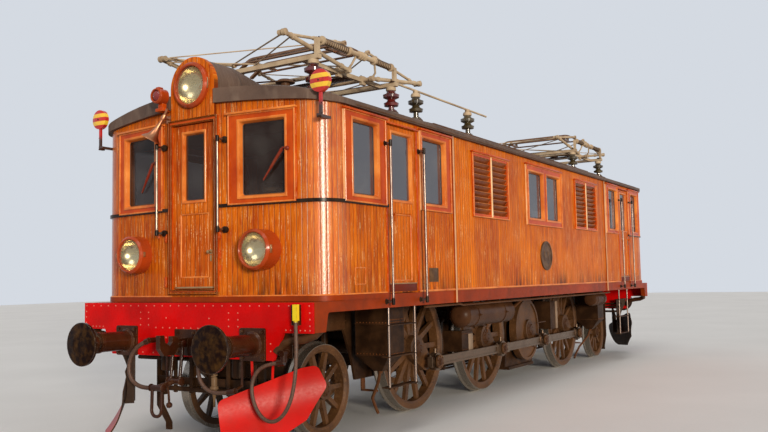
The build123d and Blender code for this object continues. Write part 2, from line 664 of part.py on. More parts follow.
def jackshaft():
    """Shaft between the second and third drivers, with a crank disc at each end."""
    def one(angle):
        hub = bar((0, WHEEL_BACK - HUB_PROUD, 0), (0, WHEEL_BACK + TYRE_W, 0), 4 * AXLE_R - 60)
        plate = along_y(Circle(JACK_DISC_R), WHEEL_BACK + 40, WHEEL_BACK + TYRE_W - 10)
        ring = along_y(Circle(JACK_DISC_R) - Circle(JACK_DISC_R - 45), WHEEL_BACK + 40, WHEEL_BACK + TYRE_W + 10)
        return [plate, hub, ring, weight(JACK_DISC_R, 150, angle)] + crank(angle)
    return wheelset(JACK_X, RAIL + DRIVER_R, 2 * AXLE_R, one(CRANK_LEFT), one(CRANK_RIGHT))


def pony_wheelset():
    part = wheel(PONY_R, 85, 105, PONY_SPOKES, 46)
    return wheelset(PONY_X, RAIL + PONY_R, PONY_AXLE_D, part, part)


def pony_frame():
    """Inside frame of the leading truck: two cheeks with bearings, a cross beam and the drawbar to its pivot."""
    axle = RAIL + PONY_R
    cheek = block(PONY_X - 330, PONY_X + 330, 500, 530, axle + 60, axle + 340)
    cheek += block(PONY_X - 120, PONY_X + 120, 480, 590, axle - 120, axle + 200)
    cheek -= bar((PONY_X, 0, axle), (PONY_X, 1000, axle), PONY_AXLE_D + 2 * JOURNAL_CLEAR)
    parts = left_right(cheek)
    parts.append(block(PONY_X - 330, PONY_X - 300, -500, 500, axle + 120, axle + 340))
    parts.append(block(PONY_X + 300, PONY_X + 330, -500, 500, axle + 120, axle + 340))
    parts.append(block(PONY_X - 150, PONY_X + 150, -500, 500, axle + 250, axle + 340))
    bar_plan = make_face(Polyline((PONY_PIVOT_X, -110), (PONY_PIVOT_X, 110), (PONY_X - 310, 460),
                                  (PONY_X - 310, -460), close=True))
    parts.append(Pos(0, 0, PONY_PIVOT_Z - 40) * extrude(bar_plan, 80))
    parts.append(Pos(PONY_PIVOT_X, 0, PONY_PIVOT_Z - 60) * Cylinder(110, 120, align=BASE))
    return joined(parts) - Pos(PONY_PIVOT_X, 0, 0) * Cylinder(PONY_PIN_R + PIN_CLEAR, 3000)


def pony_pivot():
    """Pin under a stretcher that the leading truck turns on."""
    reach = FRAME_HIGH + 60 - PONY_PIVOT_Z
    pin = Pos(PONY_PIVOT_X, 0, PONY_PIVOT_Z - 75) * Cylinder(PONY_PIN_R, reach + 75, align=BASE)
    pin += Pos(PONY_PIVOT_X, 0, PONY_PIVOT_Z - 85) * Cylinder(PONY_PIN_R + 30, 20, align=BASE)
    pin += block(PONY_PIVOT_X - 120, PONY_PIVOT_X + 75, -FRAME_Y0, FRAME_Y0, FRAME_HIGH + 40, FRAME_HIGH + 75)
    return pin


def side_rods(angle):
    """Rods from the first driver to the last at the left side, in one line through four crank pins."""
    dx = CRANK_THROW * cos(radians(angle))
    z = RAIL + DRIVER_R + CRANK_THROW * sin(radians(angle))
    pins = [x + dx for x in (DRIVER_X[0], DRIVER_X[1], JACK_X, DRIVER_X[2])]
    middle = (ROD_Y0 + ROD_Y1) / 2
    rods = block(pins[3], pins[0], middle - ROD_T / 2, middle + ROD_T / 2, z - ROD_H / 2, z + ROD_H / 2)
    for x0, x1 in zip(pins[1:], pins):
        groove = Pos((x0 + x1) / 2, z) * SlotOverall(x1 - x0 - 2 * ROD_EYE_R - 120, ROD_H - 2 * ROD_FLANGE)
        rods -= [along_y(groove, middle + ROD_T / 2 - ROD_GROOVE, middle + ROD_T / 2 + 1)]
    rods += [bar((x, ROD_Y0, z), (x, ROD_Y1, z), 2 * ROD_EYE_R) for x in pins]
    for x in (pins[1] - ROD_KNUCKLE, pins[2] - ROD_KNUCKLE):
        rods += bar((x, middle - ROD_T / 2 - 14, z), (x, middle + ROD_T / 2 + 14, z), ROD_H + 30)
    return rods - [bar((x, ROD_Y0 - 10, z), (x, ROD_Y1 + 10, z), 2 * (PIN_R + PIN_CLEAR)) for x in pins]


def brake_gear():
    """Shoes and hangers at the drivers, with cross beams and the pull rod that joins them."""
    axle = RAIL + DRIVER_R
    gap = 8
    back = DRIVER_R + 75
    parts = [block(DRIVER_X[2] - back, DRIVER_X[0] - back, -25, 25, axle - 360, axle - 310)]
    for x in DRIVER_X:
        shoe = Circle(DRIVER_R + gap + 55) - Circle(DRIVER_R + gap)
        shoe &= Pos(-DRIVER_R, -150) * Rectangle(340, 420)
        shoe = Pos(x, 0, axle) * along_y(shoe, WHEEL_BACK + 50, WHEEL_BACK + 125)
        reach = x - back
        hanger = block(reach - 25, reach + 25, FRAME_Y1 + SEAT, WHEEL_BACK + 100, axle - 360, axle + 330)
        part = shoe + hanger
        part += block(reach - 25, reach + 25, 0, WHEEL_BACK, axle - 360, axle - 310)
        parts += left_right(part)
    return joined(parts)


def sandbox(x0, x1, y0, y1, z0, z1):
    """Box with a funnel bottom."""
    box = block(x0, x1, y0, y1, z0 + FUNNEL_H, z1)
    place = Plane(origin=((x0 + x1) / 2, (y0 + y1) / 2, z0))
    box += loft([place * Rectangle(110, 110), place * Pos(0, 0, FUNNEL_H) * Rectangle(x1 - x0, y1 - y0)])
    return box


def sandboxes():
    x = SANDBOX_X + SANDBOX_L
    boxes = four(sandbox(SANDBOX_X, x, SANDBOX_Y, SANDBOX_Y + SANDBOX_W, SANDBOX_Z, SOLE_Z0 + 10))
    for wheel_x, z0, z1 in GUARDS:
        x0 = wheel_x + DRIVER_R + FLANGE + GUARD_GAP
        guard = block(x0, x0 + GUARD_T, FRAME_Y1, GUARD_Y1, z0, z1)
        guard += block(x0 + GUARD_T - GUARD_L, x0 + GUARD_T, GUARD_Y1 - GUARD_SIDE, GUARD_Y1, z0, z1)
        boxes += left_right(guard)
    save("sandboxes", *boxes)


def air_tank():
    """Reservoir with domed ends under the sole bar, with its two straps."""
    x0, x1, y, z, r = 870, 2460, HALF_W - 285, RAIL + 1165, 155
    profile = make_face(Polyline((x0 + 90, 0), (x0 + 90, r), (x1 - 90, r), (x1 - 90, 0), close=True))
    body = revolve(profile, Axis.X, 360)
    for x, side in ((x0 + 90, -1), (x1 - 90, 1)):
        dome = make_face(Polyline((x, r), (x, 0), (x + side * 90, 0))
                         + ThreePointArc((x + side * 90, 0), (x + side * 72, r * 0.62), (x, r)))
        body += revolve(dome, Axis.X, 360)
    tank = Pos(0, y, z) * body
    for x in (1250, 2100):
        tank += bar((x - 20, y, z), (x + 20, y, z), 2 * r + 16)
        tank += block(x - 20, x + 20, y - 60, y + 60, z + r - 20, SOLE_Z0 + 10)
        tank += block(x - 20, x + 20, y - 60, SOLE_Y0, SOLE_Z0 - 10, SOLE_Z0 + 10)
    return tank


def step_ladder():
    """Steps under a side door: two rods with three treads."""
    y = HALF_W - 55
    x0, x1 = DOOR_X0 - 10, DOOR_X1 - 60
    parts = [bar((x, y, RAIL + 495), (x, y, SOLE_Z0), 28) for x in (x0, x1)]
    parts += [block(x0 - 20, x1 + 20, y - 85, y + 15, z - 12, z) for z in (RAIL + 1170, RAIL + 840, RAIL + 520)]
    return joined(parts)


def door_rail(x, seat):
    """Vertical grab rail beside a side door, its top foot standing on a frame that is proud by seat."""
    out = HALF_W + 85
    points = ((x, HALF_W + seat, RAIL + 3080), (x, out, RAIL + 3080), (x, out, SOLE_Z0 + 65),
              (x, HALF_W, SOLE_Z0 + 65))
    return pipe(points, 45, 26)


def end_rail():
    """Vertical grab rail beside the end door."""
    x = END_X + 110
    y = 430
    foot = end_wall_x(y) + 12 * END_RAKE + SEAT
    points = ((foot, y, RAIL + 3090), (x, y, RAIL + 3090), (x, y, RAIL + 2180), (foot, y, RAIL + 2180))
    return pipe(points, 40, 24)


# Ends

def buffer_beam():
    """Riveted plate with its lower middle part, and a flange behind its top edge."""
    half = [(BEAM_HALF, BEAM_Z1), (BEAM_HALF, BEAM_Z0), (BEAM_LOW_HALF + BEAM_LOW_TAPER, BEAM_Z0),
            (BEAM_LOW_HALF, BEAM_LOW_Z)]
    points = half + [(-y, z) for y, z in reversed(half)]
    plate = along_x(make_face(Polyline(*points, close=True)), BEAM_X - BEAM_T, BEAM_X)
    rib = block(BEAM_X - 230, BEAM_X - BEAM_T, FRAME_Y1, FRAME_Y1 + 25, BEAM_LOW_Z + 30, BEAM_Z1 - 20)
    return plate + left_right(rib)


def buffer():
    """Buffer at the left side: square foot, barrel, ram and head."""
    reach = BUFFER_FACE_X - BEAM_X
    profile = ((0, 0), (0, BUFFER_BARREL_R + 24), (28, BUFFER_BARREL_R + 24), (40, BUFFER_BARREL_R + 6),
               (70, BUFFER_BARREL_R), (370, BUFFER_BARREL_R), (376, BUFFER_BARREL_R + 8), (400, BUFFER_BARREL_R + 8),
               (404, BUFFER_RAM_R), (reach - 65, BUFFER_RAM_R), (reach - 48, BUFFER_HEAD_R - 60),
               (reach - 38, BUFFER_HEAD_R), (reach - 18, BUFFER_HEAD_R), (reach, BUFFER_HEAD_R - 110), (reach, 0))
    solid = turned(profile, BEAM_X, BUFFER_Y, BUFFER_Z, (1, 0, 0))
    foot = extrude(RectangleRounded(2 * BUFFER_FOOT, 2 * BUFFER_FOOT, 22), 22)
    return solid + Plane(origin=(BEAM_X, BUFFER_Y, BUFFER_Z), x_dir=(0, 1, 0), z_dir=(1, 0, 0)) * foot


def draw_gear():
    """Draw hook through the beam, with the screw coupling that hangs from it."""
    z = BUFFER_Z
    hook = make_face(Polyline((BEAM_X, z - 45), (BEAM_X + 150, z - 45), (BEAM_X + 190, z - 110),
                              (BEAM_X + 330, z - 110), (BEAM_X + 385, z - 40), (BEAM_X + 385, z + 90),
                              (BEAM_X + 330, z + 90),
                              (BEAM_X + 315, z + 20), (BEAM_X + 255, z - 15), (BEAM_X + 225, z + 20),
                              (BEAM_X + 225, z + 75), (BEAM_X + 180, z + 75), (BEAM_X + 140, z + 45),
                              (BEAM_X, z + 45), close=True))
    gear = along_y(hook, -28, 28)
    gear += block(BEAM_X, BEAM_X + 25, -150, 150, z - 130, z + 130)
    eye = (BEAM_X + 120, z - 5)
    drop = (BEAM_X + 165, BUFFER_Z - COUPLING_DROP)
    gear += bar((eye[0], -75, eye[1]), (eye[0], 75, eye[1]), 46)
    for y in (-62, 62):
        gear += bar((eye[0], y, eye[1]), (drop[0], y, drop[1]), 34)
    gear += bar((drop[0], -85, drop[1]), (drop[0], 85, drop[1]), 60)
    gear += bar((drop[0], 0, drop[1]), (drop[0] + 250, 0, drop[1] - 40), 44)
    end = (drop[0] + 230, drop[1] - 37)
    gear += bar((end[0], -80, end[1]), (end[0], 80, end[1]), 56)
    bow = ((end[0], -66, end[1]), (end[0] + 10, -66, end[1] - 270), (end[0] + 10, 66, end[1] - 270),
           (end[0], 66, end[1]))
    return gear + pipe(bow, 60, 32)


def plough():
    """Curved mouldboard in front of the left wheel, with its two stay plates to the buffer beam."""
    dx = PLOUGH_OUT[0] - PLOUGH_IN[0]
    dy = PLOUGH_OUT[1] - PLOUGH_IN[1]
    length = hypot(dx, dy)
    # local x runs outwards along the board, local y up, local z out of its face
    base = Plane(origin=(PLOUGH_IN[0], PLOUGH_IN[1], RAIL), x_dir=(dx, dy, 0), z_dir=(dy, -dx, 0))
    hollow = Pos(-length / 2, PLOUGH_MID_Z - length / 2 * tan(radians(PLOUGH_TILT)), PLOUGH_R)
    hollow *= Rot(0, 0, PLOUGH_TILT) * Rot(0, 90, 0)
    outer = hollow * Cylinder(PLOUGH_R, 2 * length, align=BASE)
    inner = hollow * Pos(0, 0, -1) * Cylinder(PLOUGH_R - PLOUGH_T, 2 * length + 2, align=BASE)
    shape = Polyline((45, 105), (400, 118), (length - 230, 340), (length - 10, 640), (length - 110, 842),
                     (length - 270, 820), (0, 545), close=True)
    shape = make_face(fillet(shape.vertices(), 75))
    board = (outer - inner) & (Pos(0, 0, -200) * extrude(shape, 700))
    beam_z = BEAM_LOW_Z - RAIL
    back = make_face(Polyline((90, 400), (90, 560), (-40, beam_z), (-70, beam_z), (-70, 400), close=True))
    gusset = make_face(Polyline((90, 400), (90, 640), (110, 790), (200, 790), (200, beam_z + 200),
                                (-60, beam_z + 200), (-60, 400), close=True))
    stays = [Plane(origin=(x + STAY_T / 2, 0, 0), x_dir=(0, 0, 1), z_dir=(-1, 0, 0)) * extrude(sketch, STAY_T)
             for x, sketch in zip(PLOUGH_STAY_X, (back, gusset))]
    clear = hollow * Cylinder(PLOUGH_R - PLOUGH_T / 2, 2 * length, align=BASE)
    beam = block(BEAM_X - BEAM_T, BEAM_X + 500, 0, 2 * HALF_W, BEAM_LOW_Z, BEAM_Z1)
    return base * board + [base * (stay - clear) - beam for stay in stays]


# Routes of the hoses and the cable at the front, height above the rail, from one fitting to the other
BRAKE_HOSE = ((5985, -500, 1056), (5990, -592, 1022), (5996, -672, 950), (6000, -722, 850), (6002, -728, 740),
              (5998, -680, 652), (5992, -590, 604), (5984, -480, 590), (5978, -375, 594))
BRAKE_HOSE_D = 44
HEAT_HOSE = ((5965, 222, 850), (5982, 244, 765), (5996, 292, 686), (6004, 366, 628), (6005, 460, 600),
             (6000, 556, 596), (5994, 646, 610))
HEAT_HOSE_D = 40
CABLE = ((5955, 1438, 1270), (5962, 1448, 1110), (5972, 1452, 930), (5984, 1442, 745), (5994, 1402, 570),
         (6002, 1322, 436), (6008, 1206, 368), (6006, 1086, 392), (6000, 990, 486), (5994, 938, 612),
         (5984, 940, 736), (5970, 1000, 836), (5950, 1096, 886), (5928, 1200, 900))
CABLE_D = 36


def cord(points, diameter):
    """Round tube along a route, with each arc as large as its two runs allow."""
    raised = [Vector(x, y, z + RAIL) for x, y, z in points]
    runs = [b - a for a, b in zip(raised, raised[1:])]
    radii = []
    for a, b in zip(runs, runs[1:]):
        turn = radians(a.get_angle(b))
        radii.append(0.45 * min(a.length, b.length) / tan(turn / 2))
    line = FilletPolyline(*raised, radius=radii)
    tube = sweep(Plane(origin=line @ 0, z_dir=line % 0) * Circle(diameter / 2), path=line)
    area = pi * diameter * diameter / 4
    print("cord", diameter, "length", round(line.length), "radii", [round(r) for r in radii],
          "volume share", round(tube.volume / (area * line.length), 4))
    return tube


def ferrule(points, diameter, length):
    """Sleeve that a cord's first point sits on, in line with its first run."""
    start = Vector(*points[0]) + Vector(0, 0, RAIL)
    run = (Vector(*points[1]) - Vector(*points[0])).normalized()
    return bar(tuple(start - run * length), tuple(start), diameter)


def hose_fittings():
    """Stop cocks, parked couplings and the cable's parked head, all held by the beam."""
    brake = ferrule(BRAKE_HOSE, 60, 60)
    brake += bar((BEAM_X, -455, RAIL + 1074), (5985, -455, RAIL + 1074), 54)
    brake_end = ferrule(BRAKE_HOSE[::-1], 64, 90)
    brake_end += bar((5976, -300, RAIL + 597), (5876, -300, RAIL + 640), 26)
    brake_end += bar((5876, -300, RAIL + 630), (5876, -300, BEAM_LOW_Z), 26)
    heat = ferrule(HEAT_HOSE, 56, 50)
    heat += bar((5956, 210, RAIL + 896), (5956, 210, RAIL + 960), 50)
    heat += bar((BEAM_X, 210, RAIL + 960), (5981, 210, RAIL + 960), 50)
    heat_end = ferrule(HEAT_HOSE[::-1], 60, 90)
    heat_end += bar((5988, 715, RAIL + 620), (5876, 715, RAIL + 660), 26)
    heat_end += bar((5876, 715, RAIL + 650), (5876, 715, BEAM_LOW_Z), 26)
    head = block(5932, 5972, 1414, 1462, RAIL + 1292, RAIL + 1440) + ferrule(CABLE, 40, 30)
    head += block(BEAM_X, 5932, 1368, 1452, RAIL + 1250, RAIL + 1436)
    root_end = ferrule(CABLE[::-1], 62, 70) + bar((5916, 1262, RAIL + 908), (5916, 1262, RAIL + 1010), 62)
    root_end += bar((BEAM_X - 20, 1262, RAIL + 990), (5947, 1262, RAIL + 990), 62)
    root_end += block(BEAM_X - BEAM_T - 10, BEAM_X - BEAM_T, 1200, 1320, RAIL + 940, BEAM_Z0 + 60)
    root_end += bar((BEAM_X - BEAM_T - 10, 1262, RAIL + 990), (BEAM_X, 1262, RAIL + 990), 62)
    return [brake, brake_end, heat, heat_end, head, root_end]


# Roof equipment

def pad(x, y):
    """Level seat on the roof for an insulator."""
    return Pos(x, y, roof_z(y) - 40) * Cylinder(PAD_R, 40 + PAD_H, align=BASE)


def insulator(x, y, top):
    """Post insulator with two sheds, standing on the roof at x and y, up to a height."""
    foot = roof_z(y) + PAD_H
    h = top - foot
    r = INSULATOR_R
    profile = ((0, 0), (0, 70), (28, 70), (34, 36), (h - 250, 36), (h - 240, r - 8), (h - 205, r), (h - 185, r - 35),
               (h - 160, 45), (h - 135, r + 4), (h - 100, r + 8), (h - 80, r - 30), (h - 60, 50), (h, 46), (h, 0))
    return turned(profile, x, y, foot, (0, 0, 1))


def roof_z(y):
    """Height of the roof's outside at y, away from its ends."""
    over = HALF_W + ROOF_OVER
    rise = ROOF_CROWN - ROOF_EDGE
    radius = (over * over + rise * rise) / (2 * rise)
    return ROOF_CROWN - radius + (radius * radius - y * y) ** 0.5


def panto_base():
    """Base frame on four insulators, with shaft bearings and the two main spring tubes."""
    z0, z1 = BASE_Z0, BASE_Z0 + 50
    frame = []
    for x in (BASE_REAR_X, BASE_FRONT_X):
        frame.append(block(x - 35, x + 35, -BASE_Y - 85, BASE_Y + 85, z0, z1))
    for y in (-BEARING_Y, BEARING_Y):
        frame.append(block(BASE_REAR_X, BASE_FRONT_X, y - 20, y + 20, z0, z1))
        for x in (-PIVOT_X, PIVOT_X):
            frame.append(block(x - 45, x + 45, y - 20, y + 20, z0 - 30, PIVOT_Z + 45))
    for y in (-SPRING_Y, SPRING_Y):
        frame.append(bar((BASE_REAR_X + 30, y, SPRING_Z), (BASE_FRONT_X - 30, y, SPRING_Z), 60))
        for x in (BASE_REAR_X, BASE_FRONT_X):
            frame.append(block(x - 30, x + 30, y - 18, y + 18, z0, SPRING_Z + 15))
    whole = joined(frame)
    for x in (-PIVOT_X, PIVOT_X):
        whole -= bar((x, -1000, PIVOT_Z), (x, 1000, PIVOT_Z), SHAFT_D + 2 * PIN_CLEAR)
    return Pos(PANTO_X, 0, 0) * whole


KNEE_X = PIVOT_X + ARM * cos(radians(ARM_ANGLE))
KNEE_Z = PIVOT_Z + ARM * sin(radians(ARM_ANGLE))
HEAD_Z = PIVOT_Z + 2 * ARM * sin(radians(ARM_ANGLE))


def lower_frame():
    """Lower frame towards the front: shaft, two arms and the knee pins."""
    shaft = bar((PIVOT_X, -LOWER_Y - 22, PIVOT_Z), (PIVOT_X, LOWER_Y + 22, PIVOT_Z), SHAFT_D)
    parts = [shaft]
    for side in (-1, 1):
        y = side * LOWER_Y
        parts.append(bar((PIVOT_X, y, PIVOT_Z), (KNEE_X, y, KNEE_Z), LOWER_D))
        parts.append(bar((KNEE_X, y - 22, KNEE_Z), (KNEE_X, y + 22, KNEE_Z), 74))
        parts.append(bar((KNEE_X, y, KNEE_Z), (KNEE_X, side * (UPPER_Y - 24), KNEE_Z), KNEE_PIN_D))
    return joined(parts)


def upper_frame():
    """Upper frame towards the front: two arms with eyes at both ends, and one brace across."""
    parts = []
    for side in (-1, 1):
        y = side * UPPER_Y
        parts.append(bar((KNEE_X, y, KNEE_Z), (PIVOT_X, y, HEAD_Z), UPPER_D))
        for x, z in ((KNEE_X, KNEE_Z), (PIVOT_X, HEAD_Z)):
            parts.append(bar((x, y - 20, z), (x, y + 20, z), 62))
    near = 0.04 * ARM
    brace = (KNEE_X - near, UPPER_Y - 10, KNEE_Z + 6), (PIVOT_X + near, 10 - UPPER_Y, HEAD_Z - 6)
    parts.append(bar(*brace, 18))
    whole = joined(parts)
    whole -= bar((KNEE_X, -2000, KNEE_Z), (KNEE_X, 2000, KNEE_Z), KNEE_PIN_D + 2 * PIN_CLEAR)
    return whole - bar((PIVOT_X, -2000, HEAD_Z), (PIVOT_X, 2000, HEAD_Z), HEAD_SHAFT_D + 2 * PIN_CLEAR)


def panto_head():
    """Head: two shafts, side bars and two collector strips with down-turned horns."""
    parts = []
    for x in (-PIVOT_X, PIVOT_X):
        parts.append(bar((x, -UPPER_Y - 24, HEAD_Z), (x, UPPER_Y + 24, HEAD_Z), HEAD_SHAFT_D))
    for y in (-560, 560):
        parts.append(block(-PIVOT_X, PIVOT_X, y - 15, y + 15, HEAD_Z - 12, HEAD_Z + 12))
    top = HEAD_Z + 75
    for x in (-140, 140):
        for y in (-560, 560):
            parts.append(block(x - 15, x + 15, y - 15, y + 15, HEAD_Z, top))
        points = ((x, -900, top - 150), (x, -660, top), (x, 660, top), (x, 900, top - 150))
        line = FilletPolyline(*points, radius=240)
        strip = Plane(origin=line @ 0, x_dir=(1, 0, 0), z_dir=line % 0) * Rectangle(52, 26)
        parts.append(sweep(strip, path=line))
    return joined(parts)


def pantograph(name, place):
    """Write the five moving frames of a pantograph at its place."""
    for level, frame in zip(("lower", "upper"), (lower_frame(), upper_frame())):
        save(f"{name}_{level}_front", place * frame)
        save(f"{name}_{level}_rear", place * turned_round(frame))
    save(f"{name}_head", place * panto_head())


def busbar():
    """Tube from the pantograph over its two post insulators, along the left edge of the roof."""
    y, z = BUSBAR_Y, BUSBAR_Z
    tube = bar((POST_X[0] - 640, y, z), (PANTO_X + BASE_REAR_X - 35, y, z), BUSBAR_D)
    return tube + [bar((x, y, z - 40), (x, y, z), 70) for x in POST_X]


# Lamps and doors

def end_pair(shape):
    """A shape at the front, and the same turned round at the rear."""
    return [shape, turned_round(shape)]


# Table of lamps: x, y and z of the back, rim radius, glass radius, depth, copies made
LAMPS = (
    (HEADLAMP_X, HEADLAMP_Y, HEADLAMP_Z, HEADLAMP_RIM_R, 168, 200, four),
    (TOP_LAMP_X, 0, TOP_LAMP_Z, TOP_LAMP_RIM_R, 200, 210, end_pair),
    (END_X + 20, MARKER_Y, MARKER_Z, 82, 62, 140, end_pair),
)


def lamp(x, y, z, rim_r, lens_r, depth):
    """Open lamp housing with a dished reflector, facing forward."""
    face = make_face(Polyline((depth - 30, lens_r), (depth, lens_r), (depth, rim_r - 14), (depth - 14, rim_r),
                              (0, rim_r), (0, 0), (40, 0))
                     + ThreePointArc((40, 0), (70, lens_r * 0.62), (depth - 30, lens_r)))
    return Pos(x, y, z) * revolve(face, Axis.X, 360)


def lens(x, y, z, r, depth):
    """Front glass of a lamp: a flat back and a domed front."""
    back, edge, crown = depth - 24, depth - 16, depth + 14
    rise = crown - edge
    radius = (r * r + rise * rise) / (2 * rise)
    half = atan2(r, radius - rise) / 2
    middle = (crown - radius + radius * cos(half), radius * sin(half))
    dome = ThreePointArc((edge, r), middle, (crown, 0))
    face = make_face(Polyline((crown, 0), (back, 0), (back, r), (edge, r)) + dome)
    return Pos(x, y, z) * revolve(face, Axis.X, 360)


def lamps():
    housings = []
    glasses = []
    for x, y, z, rim_r, lens_r, depth, copies in LAMPS:
        shape = lamp(x, y, z, rim_r, lens_r, depth)
        if y == MARKER_Y:
            shape -= slab(ROOF_OVER + SEAT, 0, 5000)
        housings += copies(shape)
        glasses += copies(lens(x, y, z, lens_r - SEAT, depth))
    save("headlamps", *housings)
    save("lamp_glasses", *glasses)


def end_signals():
    """Striped round signals on their stems at the two front corners."""
    x, y, z = SIGNAL_X, SIGNAL_Y, SIGNAL_Z
    profile = ((-38, 0), (-36, 60), (-24, 110), (24, 110), (36, 60), (38, 0))
    signal = turned(profile, x, y, z, (1, 0, 0))
    signal += block(x - 12, x + 12, y - 14, y + 14, z - 350, z - 90)
    arm = block(x - 220, x + 12, y - 45, y - 17, z - 340, z - 312)
    signal += block(x - 12, x + 12, y - 45, y + 14, z - 340, z - 312)
    return signal + (arm - slab(SEAT, 0, 5000))


def side_door():
    """Side door leaf with its window and lower panel, hinged at its rear edge."""
    x0, x1 = DOOR_X0 + DOOR_GAP, DOOR_X1 - DOOR_GAP
    z0, z1 = FLOOR_Z1 + DOOR_GAP, DOOR_TOP - DOOR_GAP
    leaf = block(x0, x1, HALF_W - DOOR_T, HALF_W, z0, z1)
    leaf -= block(x0 + 92, x1 - 92, HALF_W - 100, HALF_W + 10, GLASS_Z0, GLASS_Z1 - 30)
    leaf -= block(x0 + 92, x1 - 92, HALF_W - 12, HALF_W + 10, z0 + 120, GLASS_Z0 - 140)
    knob = bar((x1 - 50, HALF_W, RAIL + 2330), (x1 - 50, HALF_W + 60, RAIL + 2330), 26)
    knob += block(x1 - 62, x1 - 38, HALF_W + 45, HALF_W + 60, RAIL + 2260, RAIL + 2345)
    place = Pos(DOOR_X0, HALF_W - DOOR_T, 0)
    leaf += [knob] + [place * part for part in knuckles(DOOR_GAP)]
    return leaf - [place * bore for bore in knuckle_bores(DOOR_GAP)]


def end_door():
    """End door leaf with its window, hinged at its right edge."""
    half = END_DOOR_HALF - DOOR_GAP
    z0, z1 = END_DOOR_Z0 + DOOR_GAP, DOOR_TOP - DOOR_GAP
    leaf = block(END_X - DOOR_T, END_X, -half, half, z0, z1)
    leaf -= block(END_X - 100, END_X + 10, -END_DOOR_GLASS, END_DOOR_GLASS, GLASS_Z0, END_DOOR_GLASS_TOP)
    leaf -= block(END_X - 12, END_X + 10, -half + 90, half - 90, z0 + 110, GLASS_Z0 - 130)
    jamb = Pos(END_X - DOOR_T, -END_DOOR_HALF, 0) * Rot(0, 0, 90)
    leaf += [jamb * mirror(part, about=Plane.XZ) for part in knuckles(DOOR_GAP)]
    return leaf - [jamb * mirror(bore, about=Plane.XZ) for bore in knuckle_bores(DOOR_GAP)]


def control_desk():
    """Driver's desk with the master controller, at the left of a cab."""
    face = make_face(Polyline((5150, FLOOR_Z1), (5560, FLOOR_Z1), (5560, FLOOR_Z1 + 880), (5420, FLOOR_Z1 + 980),
                              (5150, FLOOR_Z1 + 900), close=True))
    desk = along_y(face, 480, 1280)
    desk += bar((5300, 700, FLOOR_Z1 + 900), (5300, 700, FLOOR_Z1 + 1080), 220)
    return desk + bar((5300, 700, FLOOR_Z1 + 1070), (5300, 700, FLOOR_Z1 + 1110), 300)


# Write the sub-parts
os.makedirs("parts", exist_ok=True)
save("main_frame", main_frame() + joined(front_rear(pony_pivot())))
underframe()
save("buffer_beams", *front_rear(buffer_beam()))
save("buffers", *four(buffer()))
save("draw_gear", *front_rear(draw_gear()))
body_shell()
save("cab_ends", *front_rear(cab_end()))
save("bulkheads", bulkhead(), turned_round(bulkhead()))
roof()
window_frames()
window_glass()
save("louvres", *four(louvre_panel()))
body_trim()
rails = four(door_rail(DOOR_X0 - 60, 0)) + four(door_rail(DOOR_X1 + 60, FRAME_PROUD))
save("steps_and_rails", *four(step_ladder()), *rails, *four(end_rail()))
lamps()
save("end_signals", *left_right(end_signals()))
save("air_tanks", *left_right(air_tank()))
sandboxes()
save("ploughs", *four(plough()))
save("brake_gear", brake_gear())
save("motor_block", block(-1980, -60, -590, 590, FLOOR_Z1, RAIL + 2850))
save("transformer_block", block(420, 2400, -620, 620, FLOOR_Z1, RAIL + 2950))
save("control_desks", control_desk(), turned_round(control_desk()))
save("pantograph_bases", panto_base(), turned_round(panto_base()))
feet = (PANTO_X + BASE_REAR_X, PANTO_X + BASE_FRONT_X)
posts = [insulator(x, y, BASE_Z0) for x in feet for y in (-BASE_Y, BASE_Y)]
posts += [turned_round(post) for post in posts]
save("insulators", *posts, *[insulator(x, BUSBAR_Y, BUSBAR_Z - 40) for x in POST_X])
save("busbar", busbar())
save("hose_fittings", *hose_fittings())
save("brake_hose", cord(BRAKE_HOSE, BRAKE_HOSE_D))
save("heating_hose", cord(HEAT_HOSE, HEAT_HOSE_D))
save("jumper_cable", cord(CABLE, CABLE_D))
middle_driver = driver()
for number, x in enumerate(DRIVER_X, 1):
    save(f"driver_{number}", *[Pos(x, 0, 0) * part for part in middle_driver])
save("jackshaft", *jackshaft())
save("side_rods_left", side_rods(CRANK_LEFT))
save("side_rods_right", mirror(side_rods(CRANK_RIGHT), about=Plane.XZ))
for end, turn in (("front", Rot(0, 0, 0)), ("rear", Rot(0, 0, 180))):
    save(f"pony_frame_{end}", turn * pony_frame())
    save(f"pony_wheels_{end}", *[turn * part for part in pony_wheelset()])
    save(f"end_door_{end}", turn * end_door())
doors = dict(zip(("front_left", "front_right", "rear_left", "rear_right"), four(side_door())))
for place, leaf in doors.items():
    save(f"side_door_{place}", leaf)
pantograph("pantograph_front", Pos(PANTO_X, 0, 0))
pantograph("pantograph_rear", Pos(-PANTO_X, 0, 0))
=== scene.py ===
import bpy
import bmesh
import math
from mathutils import Matrix, Vector


